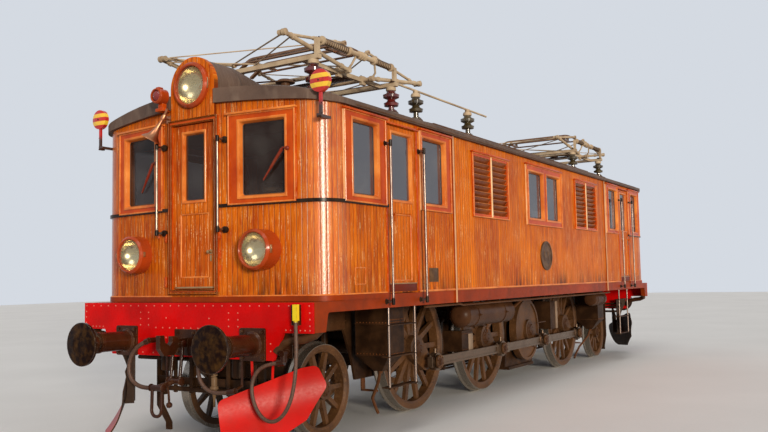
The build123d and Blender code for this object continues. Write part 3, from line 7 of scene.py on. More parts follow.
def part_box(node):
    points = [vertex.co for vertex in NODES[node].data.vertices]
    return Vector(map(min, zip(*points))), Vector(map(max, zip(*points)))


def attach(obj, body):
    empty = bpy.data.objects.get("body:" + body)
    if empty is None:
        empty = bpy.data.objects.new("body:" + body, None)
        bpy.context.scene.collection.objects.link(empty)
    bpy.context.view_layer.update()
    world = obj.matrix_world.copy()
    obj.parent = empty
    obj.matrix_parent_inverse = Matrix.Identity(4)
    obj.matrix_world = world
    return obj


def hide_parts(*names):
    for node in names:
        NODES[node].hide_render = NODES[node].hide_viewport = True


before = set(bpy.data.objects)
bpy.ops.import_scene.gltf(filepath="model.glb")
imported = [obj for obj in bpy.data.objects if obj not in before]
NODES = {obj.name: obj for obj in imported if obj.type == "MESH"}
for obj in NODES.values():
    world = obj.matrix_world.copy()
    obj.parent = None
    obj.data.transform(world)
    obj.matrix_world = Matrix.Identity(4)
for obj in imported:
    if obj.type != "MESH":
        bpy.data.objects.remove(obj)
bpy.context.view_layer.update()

# Electric rod locomotive, X forward, Y to its left, Z up, in the frame of its solids.
# Shapes are drawn in millimetres with heights above the rail, and turned into the frame's metres when made.
ROOT = "locomotive"
RAIL = 0.028
MM = 0.001
TO_FRAME = Matrix.Translation((0, 0, RAIL)) @ Matrix.Scale(MM, 4)
FROM_FRAME = TO_FRAME.inverted()
X, Y, Z = Vector((1, 0, 0)), Vector((0, 1, 0)), Vector((0, 0, 1))
LEFT, RIGHT = 1, -1
FRONT, REAR = 1, -1
ENDS = (("front", FRONT), ("rear", REAR))

# Body
HALF_W = 1585
END_X = 5790
END_FLAT = 300
END_RAKE = 0.1206
CORNER_R = 280
CORNER_X = 5387
CORNER_Y = 1305
FLOOR_Z = 1500
EAVE_Z = 3375
GLASS_Z0, GLASS_Z1 = 2500, 3250
FRAME_Z = 2420, 3335
DOOR_X0, DOOR_X1 = 3960, 4560
END_WINDOW_Y = 865
# Side windows: centre along the wall, half width, and the frame's two ends
SIDE_WINDOWS = ((4990, 230, 4600, 5370), (3545, 275, 3120, 3860))

# Ends
BEAM_X = 5890
BUFFER_Y = 875
BUFFER_Z = 1060
HEADLAMP = (5890, 870, 1965)
TOP_LAMP = (5860, 0, 3700)
SIGNAL_Z = 3545

# Running gear
DRIVER_R = 765
PONY_R = 485
DRIVER_X = (2750, 700, -2750)
JACK_X = -1025
PONY_X = 4700
AXLE_Z = DRIVER_R
CRANK = 290
CRANK_TURNS = ((LEFT, 219), (RIGHT, 309))
ROD_Y = 1000

# Roof
PANTO_X = 4000
ROOF_CROWN = 3780
ROOF_RISE = 350
ROOF_HALF = 1633
ROOF_RADIUS = (ROOF_HALF ** 2 + ROOF_RISE ** 2) / (2 * ROOF_RISE)


def above_rail(z):
    """Height in the frame, in metres, of a height above the rail."""
    return RAIL + z * MM


def roof_z(y):
    """Height of the roof's outside at y."""
    return ROOF_CROWN - ROOF_RADIUS + math.sqrt(ROOF_RADIUS ** 2 - y * y)


def end_wall_x(y):
    """Outer face of the front wall at y."""
    return END_X - END_RAKE * max(0.0, abs(y) - END_FLAT)


# Materials

class Look:
    """One material, with short calls that add its nodes."""

    def __init__(self, name, **constants):
        self.material = bpy.data.materials.new(name)
        self.material.use_nodes = True
        self.tree = self.material.node_tree
        self.tree.nodes.clear()
        out = self.tree.nodes.new("ShaderNodeOutputMaterial")
        self.shader = self.tree.nodes.new("ShaderNodeBsdfPrincipled")
        self.tree.links.new(self.shader.outputs[0], out.inputs[0])
        self.place = self.tree.nodes.new("ShaderNodeTexCoord").outputs["Object"]
        self.x, self.y, self.z = self.node("ShaderNodeSeparateXYZ", Vector=self.place).outputs
        for socket, value in constants.items():
            self.shader.inputs[socket.replace("_", " ")].default_value = value

    def put(self, socket, value):
        if isinstance(value, bpy.types.NodeSocket):
            self.tree.links.new(value, socket)
        elif isinstance(value, tuple) and len(value) == 3 and socket.type == "RGBA":
            socket.default_value = (*value, 1.0)
        else:
            socket.default_value = value

    def node(self, kind, settings=None, **inputs):
        made = self.tree.nodes.new(kind)
        for key, value in (settings or {}).items():
            setattr(made, key, value)
        for key, value in inputs.items():
            self.put(made.inputs[key.replace("_", " ")], value)
        return made

    def math(self, operation, *values):
        made = self.tree.nodes.new("ShaderNodeMath")
        made.operation = operation
        for socket, value in zip(made.inputs, values):
            self.put(socket, value)
        return made.outputs[0]

    def times(self, a, b):
        return self.math("MULTIPLY", a, b)

    def plus(self, a, b):
        return self.math("ADD", a, b)

    def minus(self, a, b):
        return self.math("SUBTRACT", a, b)

    def vector(self, x, y, z):
        return self.node("ShaderNodeCombineXYZ", X=x, Y=y, Z=z).outputs[0]

    def stretched(self, sx, sy, sz):
        made = self.tree.nodes.new("ShaderNodeVectorMath")
        made.operation = "MULTIPLY"
        self.put(made.inputs[0], self.place)
        made.inputs[1].default_value = (sx, sy, sz)
        return made.outputs[0]

    def noise(self, scale, detail=3.0, vector=None, rough=0.55):
        made = self.node("ShaderNodeTexNoise", Vector=vector or self.place, Scale=scale, Detail=detail,
                         Roughness=rough)
        return made.outputs["Fac"]

    def between(self, value, low, high, to_low=0.0, to_high=1.0):
        made = self.node("ShaderNodeMapRange", {"clamp": True}, Value=value, From_Min=low, From_Max=high,
                         To_Min=to_low, To_Max=to_high)
        return made.outputs["Result"]

    def mix(self, factor, a, b, mode="MIX"):
        made = self.tree.nodes.new("ShaderNodeMix")
        made.data_type = "RGBA"
        made.blend_type = mode
        self.put(made.inputs[0], factor)
        self.put(made.inputs[6], a)
        self.put(made.inputs[7], b)
        return made.outputs[2]

    def bump(self, height, distance, strength=1.0, normal=None):
        made = self.node("ShaderNodeBump", Height=height, Distance=distance, Strength=strength)
        if normal:
            self.put(made.inputs["Normal"], normal)
        return made.outputs[0]

    def wear(self):
        """Share of a convex edge, from the difference of a rounded normal."""
        rounded = self.node("ShaderNodeBevel", {"samples": 4}, Radius=0.006).outputs[0]
        flat = self.node("ShaderNodeNewGeometry").outputs["Normal"]
        made = self.tree.nodes.new("ShaderNodeVectorMath")
        made.operation = "DOT_PRODUCT"
        self.put(made.inputs[0], rounded)
        self.put(made.inputs[1], flat)
        return self.between(made.outputs["Value"], 0.97, 0.86)

    def finish(self, colour, roughness=None, normal=None, metallic=None):
        sockets = {"Base Color": colour, "Roughness": roughness, "Normal": normal, "Metallic": metallic}
        for name, value in sockets.items():
            if value is not None:
                self.put(self.shader.inputs[name], value)
        return self.material


def wall_run(look):
    """Distance along the body wall in plan: along the side, round the corner and across the end."""
    corner_x, corner_y = CORNER_X * MM, CORNER_Y * MM
    ax = look.math("ABSOLUTE", look.x)
    ay = look.math("ABSOLUTE", look.y)
    out_x = look.math("MAXIMUM", look.minus(ax, corner_x), 0.0)
    out_y = look.math("MAXIMUM", look.minus(ay, corner_y), 0.0001)
    turn = look.times(look.math("ARCTAN2", out_x, out_y), CORNER_R * MM)
    side = look.math("MINIMUM", ax, corner_x)
    across = look.minus(corner_y, look.math("MINIMUM", ay, corner_y))
    run = look.plus(look.plus(side, turn), across)
    seed = look.times(look.math("SIGN", look.y), 37.0)
    end = look.times(look.math("SIGN", look.x), 19.0)
    return run, look.plus(seed, end)


BOARD_W = 0.062


def wood(name, dark, middle, light, board=BOARD_W):
    """Varnished vertical boards: a tone for each board, long grain, painted highlight streaks for glints on
    the varnish, dark stains low down.
    """
    look = Look(name, Coat_Roughness=0.28, Coat_IOR=1.6, Specular_IOR_Level=0.03)
    run, seed = wall_run(look)
    cell = look.math("DIVIDE", run, board)
    index = look.math("FLOOR", cell)
    across = look.minus(cell, index)
    tone = look.node("ShaderNodeTexWhiteNoise", {"noise_dimensions": "1D"},
                     W=look.plus(index, seed)).outputs["Value"]
    edge = look.math("ABSOLUTE", look.minus(across, 0.5))
    groove = look.between(edge, 0.43, 0.485)
    place = look.plus(run, seed)
    spot = look.vector(place, look.times(look.z, 0.045), tone)
    grain = look.noise(150.0, 4.0, spot, 0.7)
    spot = look.vector(place, look.times(look.z, 0.16), tone)
    cloud = look.noise(5.5, 4.0, spot)
    colour = look.mix(look.between(cloud, 0.3, 0.7), dark, middle)
    colour = look.mix(look.times(look.between(grain, 0.44, 0.7), 0.75), colour, light)
    colour = look.mix(look.times(tone, 0.8), colour, look.mix(0.55, colour, dark))
    # Painted highlight: thin pale streaks, dotted and in patches, stand for glints of the sun on the varnish
    # along the boards.
    spot = look.vector(place, look.times(look.z, 0.035), 3.0)
    glint_streak = look.between(look.noise(95.0, 2.0, spot, 0.5), 0.57, 0.7)
    spot = look.vector(look.times(run, 2.0), look.times(look.z, 2.0), 7.0)
    patch = look.between(look.noise(2.2, 3.0, spot), 0.36, 0.58)
    dots = look.between(look.noise(60.0, 2.0), 0.38, 0.6)
    glow = look.between(look.noise(1.3, 2.0), 0.42, 0.62)
    colour = look.mix(look.times(glow, 0.38), colour, (0.9, 0.235, 0.006))
    bright = look.times(look.times(glint_streak, patch), dots)
    colour = look.mix(bright, colour, (0.98, 0.64, 0.3))
    colour = look.mix(look.times(groove, 0.72), colour, (0.085, 0.014, 0.004))
    low = look.between(look.z, above_rail(FLOOR_Z + 300), above_rail(FLOOR_Z + 10))
    spot = look.vector(place, look.times(look.z, 0.1), 11.0)
    drip = look.between(look.noise(22.0, 3.0, spot), 0.42, 0.56)
    spread = look.between(look.noise(1.7, 2.0, look.stretched(1.0, 1.0, 0.1)), 0.4, 0.62, 0.12, 1.0)
    stain = look.times(look.times(look.math("POWER", low, 1.3), drip), spread)
    colour = look.mix(look.times(stain, 0.9), colour, (0.03, 0.008, 0.003))
    cup = look.times(look.times(edge, edge), -1.5)
    tilt = look.times(look.minus(tone, 0.5), look.times(across, 1.6))
    smooth = look.plus(look.plus(cup, tilt), look.times(groove, -0.8))
    ripple = look.noise(70.0, 2.0, look.stretched(1.0, 1.0, 0.6))
    height = look.plus(smooth, look.times(grain, 0.15))
    roughness = look.between(cloud, 0.2, 0.8, 0.24, 0.42)
    bumped = look.bump(height, 0.004, 0.8)
    out_x = look.between(look.math("ABSOLUTE", look.x), (CORNER_X - 150) * MM, (CORNER_X + 50) * MM)
    out_y = look.between(look.math("ABSOLUTE", look.y), (CORNER_Y - 50) * MM, (CORNER_Y + 120) * MM)
    corner = look.times(out_x, out_y)
    ripple = look.times(ripple, look.between(corner, 0.0, 1.0, 0.12, 0.45))
    look.put(look.shader.inputs["Coat Normal"], look.bump(look.plus(smooth, ripple), 0.004, 0.8))
    varnish = look.between(corner, 0.0, 1.0, 0.08, 1.0)
    look.put(look.shader.inputs["Coat Weight"], varnish)
    return look.finish(colour, roughness, bumped)


def rail_wood(name, dark, light):
    """Plain varnished timber of window and door frames, redder than the boards."""
    look = Look(name, Coat_Weight=0.4, Coat_Roughness=0.14, Coat_IOR=1.3, Specular_IOR_Level=0.05)
    grain = look.noise(60.0, 4.0, look.stretched(1.0, 1.0, 0.12), 0.65)
    cloud = look.noise(3.0, 3.0)
    colour = look.mix(look.between(cloud, 0.3, 0.7), dark, light)
    colour = look.mix(look.times(look.between(grain, 0.45, 0.75), 0.4), colour, dark)
    edge = look.wear()
    chips = look.between(look.noise(30.0, 3.0, look.stretched(1.0, 1.0, 0.5)), 0.45, 0.6)
    colour = look.mix(look.times(look.times(edge, chips), 0.8), colour, (0.85, 0.52, 0.25))
    return look.finish(colour, look.between(cloud, 0.2, 0.8, 0.22, 0.4), look.bump(grain, 0.001, 0.4))


def paint(name, colour, worn=(0.05, 0.03, 0.02), dust=(0.2, 0.12, 0.06), dusty=0.25, rough=(0.3, 0.5),
          chips=0.4, scale=1.0, coat=0.0, shine=0.1):
    """Painted metal with clouded tone, worn edges and dust that gathers in patches."""
    look = Look(name, Coat_Weight=coat, Coat_Roughness=0.1, Coat_IOR=1.35, Specular_IOR_Level=shine)
    cloud = look.noise(2.2 * scale, 4.0)
    fine = look.noise(34.0 * scale, 4.0)
    dark, light = (tuple(c * share for c in colour) for share in (0.72, 1.15))
    tone = look.mix(look.between(cloud, 0.3, 0.7), dark, light)
    layer = look.times(look.between(look.noise(5.0 * scale, 5.0), 0.42, 0.72), dusty)
    tone = look.mix(layer, tone, dust)
    edge = look.times(look.wear(), look.between(fine, 0.42, 0.62))
    tone = look.mix(look.times(edge, chips), tone, worn)
    roughness = look.between(fine, 0.25, 0.75, rough[0], rough[1])
    return look.finish(tone, roughness, look.bump(fine, 0.0012, 0.35))


def metal(name, colour, rough=(0.22, 0.42), grime=(0.05, 0.035, 0.02), dirty=0.4, scale=1.0):
    """Bare metal with grime in patches."""
    look = Look(name)
    cloud = look.noise(6.0 * scale, 5.0)
    fine = look.noise(70.0 * scale, 3.0)
    dirt = look.times(look.between(cloud, 0.42, 0.68), dirty)
    tone = look.mix(look.between(fine, 0.3, 0.7), tuple(c * 0.85 for c in colour), colour)
    tone = look.mix(dirt, tone, grime)
    metallic = look.minus(1.0, look.times(dirt, 0.9))
    roughness = look.between(cloud, 0.2, 0.8, rough[0], rough[1])
    return look.finish(tone, roughness, look.bump(fine, 0.0006, 0.3), metallic)


def wheel_paint(name, x, z, radius, on_rim=(0.3, 0.26, 0.22)):
    """Dusty painted wheel whose tread and flange are bare."""
    x, z, radius = x * MM, above_rail(z), radius * MM
    look = Look(name, Specular_IOR_Level=0.3)
    away = look.math("SQRT", look.plus(look.math("POWER", look.minus(look.x, x), 2.0),
                                       look.math("POWER", look.minus(look.z, z), 2.0)))
    cloud = look.noise(4.0, 5.0)
    fine = look.noise(40.0, 4.0)
    tone = look.mix(look.between(cloud, 0.3, 0.7), (0.045, 0.018, 0.006), (0.12, 0.05, 0.017))
    tone = look.mix(look.times(look.between(fine, 0.5, 0.7), 0.5), tone, (0.19, 0.09, 0.036))
    hub = look.between(away, 0.3 * radius, 0.12 * radius)
    tone = look.mix(look.times(hub, 0.5), tone, (0.02, 0.012, 0.008))
    tread = look.between(away, radius - 0.012, radius - 0.004)
    tone = look.mix(tread, tone, on_rim)
    roughness = look.between(fine, 0.2, 0.8, 0.34, 0.62)
    roughness = look.minus(roughness, look.times(tread, 0.25))
    return look.finish(tone, roughness, look.bump(fine, 0.002, 0.4), look.times(tread, 0.85))


def roof_canvas(name):
    """Tarred canvas with cross seams, pale dust and runs towards the edges."""
    look = Look(name)
    cloud = look.noise(1.6, 5.0)
    fine = look.noise(45.0, 4.0)
    runs = look.noise(9.0, 3.0, look.stretched(6.0, 0.4, 0.4))
    tone = look.mix(look.between(cloud, 0.3, 0.7), (0.055, 0.028, 0.018), (0.13, 0.076, 0.052))
    tone = look.mix(look.times(look.between(runs, 0.5, 0.7), 0.45), tone, (0.21, 0.145, 0.105))
    seam = look.math("PINGPONG", look.plus(look.x, 0.31), 0.475)
    ridge = look.between(seam, 0.012, 0.0)
    tone = look.mix(look.times(ridge, 0.5), tone, (0.02, 0.016, 0.012))
    height = look.plus(look.times(fine, 0.4), ridge)
    return look.finish(tone, look.between(fine, 0.2, 0.8, 0.55, 0.85), look.bump(height, 0.004, 0.5))


def signal_bands(name):
    """Red and yellow bands across the round signals, on a red stem."""
    look = Look(name, Coat_Weight=0.3, Coat_Roughness=0.1)
    top = above_rail(SIGNAL_Z + 110)
    band = look.math("FLOOR", look.math("DIVIDE", look.minus(top, look.z), 0.044))
    yellow = look.math("COMPARE", look.math("MODULO", band, 2.0), 1.0, 0.1)
    yellow = look.times(yellow, look.math("LESS_THAN", band, 5.0))
    fine = look.noise(40.0, 3.0)
    red = look.mix(look.between(fine, 0.3, 0.7), (0.42, 0.01, 0.008), (0.6, 0.02, 0.012))
    tone = look.mix(yellow, red, (0.86, 0.52, 0.03))
    stem = look.between(look.z, above_rail(SIGNAL_Z - 170), above_rail(SIGNAL_Z - 240))
    tone = look.mix(stem, tone, (0.045, 0.02, 0.014))
    return look.finish(tone, look.between(fine, 0.2, 0.8, 0.25, 0.4), look.bump(fine, 0.0008, 0.3))


def glazed(name, colour, other):
    """Glazed porcelain."""
    look = Look(name, Coat_Weight=0.9, Coat_Roughness=0.05)
    cloud = look.noise(7.0, 3.0)
    tone = look.mix(look.between(cloud, 0.35, 0.65), colour, other)
    return look.finish(tone, look.between(cloud, 0.2, 0.8, 0.12, 0.25), look.bump(cloud, 0.001, 0.2))


def glass(name, tint, rough=0.02, alpha=0.42, bend=1.5):
    """Thin pane: dark when seen straight, with reflections and light dust at its edges."""
    look = Look(name, Alpha=alpha, Specular_IOR_Level=0.5, IOR=bend)
    dust = look.between(look.noise(3.0, 4.0), 0.45, 0.8)
    tone = look.mix(look.times(dust, 0.3), tint, (0.2, 0.19, 0.18))
    return look.finish(tone, look.between(dust, 0.0, 1.0, rough, rough + 0.05))


def rubber(name, colour, other):
    look = Look(name)
    fine = look.noise(55.0, 4.0)
    tone = look.mix(look.between(fine, 0.35, 0.65), colour, other)
    return look.finish(tone, look.between(fine, 0.2, 0.8, 0.45, 0.7), look.bump(fine, 0.001, 0.4))


WOOD = wood("varnished_boards", (0.31, 0.03, 0.001), (0.66, 0.116, 0.002), (0.88, 0.31, 0.022))
DOOR_WOOD = wood("door_boards", (0.27, 0.024, 0.001), (0.56, 0.075, 0.002), (0.8, 0.22, 0.018))
RAIL_WOOD = rail_wood("frame_timber", (0.38, 0.036, 0.002), (0.62, 0.088, 0.004))
BEAD_WOOD = rail_wood("bead_timber", (0.5, 0.09, 0.01), (0.8, 0.26, 0.05))
# Pale timber: used on the louvre posts, and as a painted highlight for the sun's glare on the varnish of the
# side windows' reveals.
PALE_GLARE_WOOD = rail_wood("pale_timber_painted_glare", (0.8, 0.4, 0.15), (0.97, 0.74, 0.44))
# Painted light and shade of the louvres: dark timber for the faces that look down, light timber for those that
# look up.
LOUVRE_SHADE = rail_wood("louvre_painted_shade", (0.14, 0.03, 0.008), (0.3, 0.08, 0.02))
LOUVRE_LIT = rail_wood("louvre_painted_light", (0.5, 0.11, 0.02), (0.78, 0.27, 0.05))
KICK = paint("kick_board", (0.16, 0.018, 0.005), (0.3, 0.08, 0.03), (0.06, 0.015, 0.006), 0.5)
PALE_BEAD = paint("joint_strip", (0.55, 0.3, 0.16), worn=(0.8, 0.6, 0.4), dusty=0.2, rough=(0.25, 0.4))
ROOF = roof_canvas("roof_canvas")
ROOF_TRIM = paint("roof_trim", (0.1, 0.045, 0.022), (0.3, 0.18, 0.1), (0.17, 0.12, 0.09), 0.5)
SOLE = paint("sole_bar_paint", (0.31, 0.036, 0.003), (0.08, 0.02, 0.01), (0.1, 0.022, 0.006), 0.5)
RED = paint("beam_red", (0.6, 0.003, 0.003), (0.2, 0.02, 0.015), (0.34, 0.015, 0.01), 0.2,
            rough=(0.22, 0.36), coat=0.1, shine=0.06)
PLOUGH_RED = paint("plough_red", (0.52, 0.006, 0.003), (0.16, 0.03, 0.02), (0.36, 0.02, 0.012), 0.5,
                   rough=(0.3, 0.42), shine=0.12)
DARK = paint("frame_paint", (0.026, 0.011, 0.005), (0.16, 0.085, 0.042), (0.1, 0.045, 0.018), 0.5,
             rough=(0.3, 0.6))
TANK = paint("tank_paint", (0.055, 0.021, 0.009), (0.18, 0.095, 0.045), (0.13, 0.058, 0.024), 0.45,
             rough=(0.24, 0.45))
PALE = paint("pale_guard", (0.34, 0.24, 0.17), (0.1, 0.06, 0.04), (0.16, 0.09, 0.05), 0.6)
IRON = paint("buffer_iron", (0.03, 0.008, 0.003), (0.25, 0.15, 0.09), (0.11, 0.036, 0.011), 0.35,
             rough=(0.2, 0.42), chips=0.8, coat=0.35)
RIM_IRON = paint("rim_iron", (0.012, 0.004, 0.003), (0.3, 0.22, 0.15), (0.14, 0.07, 0.03), 0.3,
                 rough=(0.16, 0.34), chips=0.8, coat=0.4)
GREASE = paint("head_grease", (0.009, 0.003, 0.002), (0.2, 0.14, 0.09), (0.08, 0.036, 0.009), 0.7,
               rough=(0.18, 0.5), scale=3.0, shine=0.05)
PIPE = paint("pipe_paint", (0.11, 0.04, 0.016), (0.3, 0.18, 0.1), (0.16, 0.08, 0.035), 0.35)
VALVE = paint("valve_paint", (0.16, 0.095, 0.05), (0.35, 0.25, 0.16), (0.08, 0.04, 0.02), 0.5)
RUST = paint("rust_rivets", (0.24, 0.075, 0.022), (0.4, 0.2, 0.1), (0.14, 0.05, 0.02), 0.4)
STEEL = metal("handled_steel", (0.3, 0.25, 0.2), dirty=0.35)
RAIL_PAINT = paint("rail_paint", (0.22, 0.022, 0.01), worn=(0.42, 0.22, 0.14), dusty=0.2, rough=(0.2, 0.35))
SIDE_RAIL = metal("side_rail", (0.25, 0.19, 0.16), rough=(0.24, 0.4), grime=(0.1, 0.03, 0.015), dirty=0.35)
ROD = metal("rod_steel", (0.22, 0.145, 0.095), dirty=0.75, grime=(0.055, 0.026, 0.011))
LOCK = metal("lock_brass", (0.55, 0.34, 0.16), dirty=0.35)
HORN = metal("horn_brass", (0.5, 0.22, 0.11), dirty=0.45, grime=(0.16, 0.03, 0.015))
MIRROR = metal("lamp_reflector", (0.66, 0.56, 0.33), rough=(0.2, 0.32), dirty=0.1)
LAMP_PAINT = paint("lamp_paint", (0.4, 0.05, 0.007), (0.6, 0.3, 0.14), (0.22, 0.05, 0.02), 0.3,
                   rough=(0.2, 0.34), coat=0.3)
CREAM = paint("collector_paint", (0.52, 0.4, 0.27), (0.16, 0.07, 0.03), (0.2, 0.1, 0.05), 0.55,
              rough=(0.4, 0.65), chips=0.7)
BROWN = metal("strip_metal", (0.3, 0.15, 0.08), dirty=0.5)
SPRING = metal("spring_steel", (0.3, 0.21, 0.15), dirty=0.5)
PORCELAIN = glazed("red_porcelain", (0.045, 0.005, 0.004), (0.13, 0.01, 0.007))
OLIVE = glazed("olive_porcelain", (0.035, 0.024, 0.01), (0.085, 0.06, 0.022))
SIGNAL = signal_bands("signal_bands")
PANE = glass("window_pane", (0.06, 0.058, 0.075), alpha=0.72, bend=2.1)
# The end panes' dark brown tint is painted shade: it darkens them like the shaded cab seen through them.
SHADED_END_PANE = glass("end_pane_painted_shade", (0.03, 0.016, 0.012), alpha=0.45, bend=1.35)
LENS = glass("lamp_glass", (0.3, 0.28, 0.22), alpha=0.1)
RED_LENS = glass("red_lens", (0.22, 0.006, 0.005), alpha=0.9)
HOSE = rubber("hose_rubber", (0.045, 0.02, 0.012), (0.11, 0.05, 0.028))
RUBBER = rubber("gasket_rubber", (0.018, 0.011, 0.008), (0.045, 0.024, 0.016))
BLACK = paint("black_trim", (0.014, 0.007, 0.005), rough=(0.16, 0.34), dusty=0.15)
INSIDE = paint("cab_paint", (0.2, 0.13, 0.07), dusty=0.2, rough=(0.4, 0.6))
YELLOW = paint("yellow_paint", (0.82, 0.62, 0.02), worn=(0.1, 0.07, 0.02), dusty=0.2, chips=0.8)
PLATE = paint("plate_metal", (0.075, 0.036, 0.018), (0.3, 0.16, 0.07), (0.2, 0.105, 0.045), 0.7,
              rough=(0.25, 0.45), scale=2.0)
RIVET = paint("rivet_heads", (0.66, 0.16, 0.12), worn=(0.85, 0.55, 0.45), dusty=0.1, rough=(0.2, 0.35))


def dress(look, *names):
    """Give a material to nodes of the frame."""
    for name in names:
        mesh = NODES[name].data
        mesh.materials.clear()
        mesh.materials.append(look)
        for polygon in mesh.polygons:
            polygon.material_index = 0


def dress_part(name, look, test):
    """Give a material to the faces of a node whose centre, in millimetres above the rail, passes a test."""
    mesh = NODES[name].data
    mesh.materials.append(look)
    slot = len(mesh.materials) - 1
    for polygon in mesh.polygons:
        if test(FROM_FRAME @ polygon.center, polygon.normal):
            polygon.material_index = slot


SIDE_DOORS = [name for name in NODES if name.startswith("side_door")]
END_DOORS = [name for name in NODES if name.startswith("end_door")]
PANTOGRAPHS = [name for name in NODES if name.startswith("pantograph")]

dress(WOOD, "cab_ends", "cab_sides", "machine_room_sides")
dress(DOOR_WOOD, *SIDE_DOORS, *END_DOORS)
dress(RAIL_WOOD, "window_frames", "louvres")
dress(ROOF, "roof_middle", "roof_ends")
dress(SOLE, "underframe", "body_trim")
dress(RED, "buffer_beams")
# The ploughs' back and inner faces take the dark frame paint as painted shade; the faces that look forward and
# outward get red below.
dress(DARK, "ploughs")
dress(DARK, "main_frame", "pony_frame_front", "pony_frame_rear", "brake_gear", "sandboxes", "motor_block",
      "transformer_block")
dress(TANK, "air_tanks")
dress(IRON, "buffers", "draw_gear", "hose_fittings")
dress(ROD, "side_rods_left", "side_rods_right")
dress(SIDE_RAIL, "steps_and_rails")
dress(CREAM, "busbar", *PANTOGRAPHS)
dress(PORCELAIN, "insulators")
dress(SIGNAL, "end_signals")
dress(PANE, "window_glass")
dress(LENS, "lamp_glasses")
dress(INSIDE, "bulkheads", "control_desks", "wheel_casings")
dress(LAMP_PAINT, "headlamps")
for number, x in enumerate(DRIVER_X, 1):
    dress(wheel_paint(f"driver_paint_{number}", x, AXLE_Z, DRIVER_R), f"driver_{number}")
dress(wheel_paint("jackshaft_paint", JACK_X, AXLE_Z, DRIVER_R), "jackshaft")
for name, x in (("front", PONY_X), ("rear", -PONY_X)):
    dress(wheel_paint(f"pony_paint_{name}", x, PONY_R, PONY_R), f"pony_wheels_{name}")


def is_reflector(centre, normal):
    """Faces of the dished inside of a lamp, which look forward and lie inside its rim."""
    facing = normal.x * math.copysign(1.0, centre.x) > 0.05
    low = math.hypot(abs(centre.y) - HEADLAMP[1], centre.z - HEADLAMP[2])
    high = math.hypot(centre.y, centre.z - TOP_LAMP[2])
    return facing and (low < 166 or high < 198)


def is_tread(centre, normal):
    """Treads and inner irons of the steps."""
    on_step = min(abs(centre.z - z) for z in (1170, 840, 520)) < 35
    return on_step or (abs(centre.y) < 1490 and centre.z < 1350)


def is_plough_front(centre, normal):
    """Faces of a ploughshare that look forward and outward."""
    out = normal.x * math.copysign(0.683, centre.x) + normal.y * math.copysign(0.731, centre.y)
    return out > 0.25


def is_head_face(centre, normal):
    """Middle of a buffer's head."""
    return abs(centre.x) > 6450 and math.hypot(abs(centre.y) - BUFFER_Y, centre.z - BUFFER_Z) < 206


dress_part("headlamps", MIRROR, is_reflector)
dress_part("steps_and_rails", DARK, is_tread)
dress_part("steps_and_rails", STEEL, lambda centre, normal: abs(centre.x) > 5700)
# Only the ploughs' forward and outward faces are red; their other faces keep the dark paint, which is painted
# shade.
dress_part("ploughs", PLOUGH_RED, is_plough_front)
dress_part("lamp_glasses", RED_LENS, lambda centre, normal: abs(abs(centre.y) - 395) < 80 and centre.z > 3500)
dress_part("buffers", GREASE, is_head_face)
dress_part("insulators", OLIVE, lambda centre, normal: abs(centre.x) < 3000 or centre.x * centre.y < 0)
# Painted shade on the louvres' faces that look down, painted light on those that look up.
dress_part("louvres", LOUVRE_SHADE, lambda centre, normal: normal.z < -0.15)
dress_part("louvres", LOUVRE_LIT, lambda centre, normal: normal.z > 0.15)
# Painted highlight: the side windows' reveals that look along the side take the pale timber for the sun's
# glare on their varnish.
dress_part("window_frames", PALE_GLARE_WOOD, lambda centre, normal: abs(normal.x) > 0.7 and abs(centre.y) > 1500)
# The end windows' panes take the tint that paints the shade of the cab behind them.
dress_part("window_glass", SHADED_END_PANE, lambda centre, normal: abs(centre.x) > 5400)
dress_part("body_trim", BLACK, lambda centre, normal: centre.z > 2390 and abs(centre.x) > 3200)
dress_part("hose_fittings", YELLOW,
           lambda centre, normal: centre.x > 5931.5 and centre.y > 1400 and centre.z > 1285)
for name in PANTOGRAPHS:
    if name.endswith("head"):
        dress_part(name, BROWN, lambda centre, normal: centre.z > 4300)


# Shapes

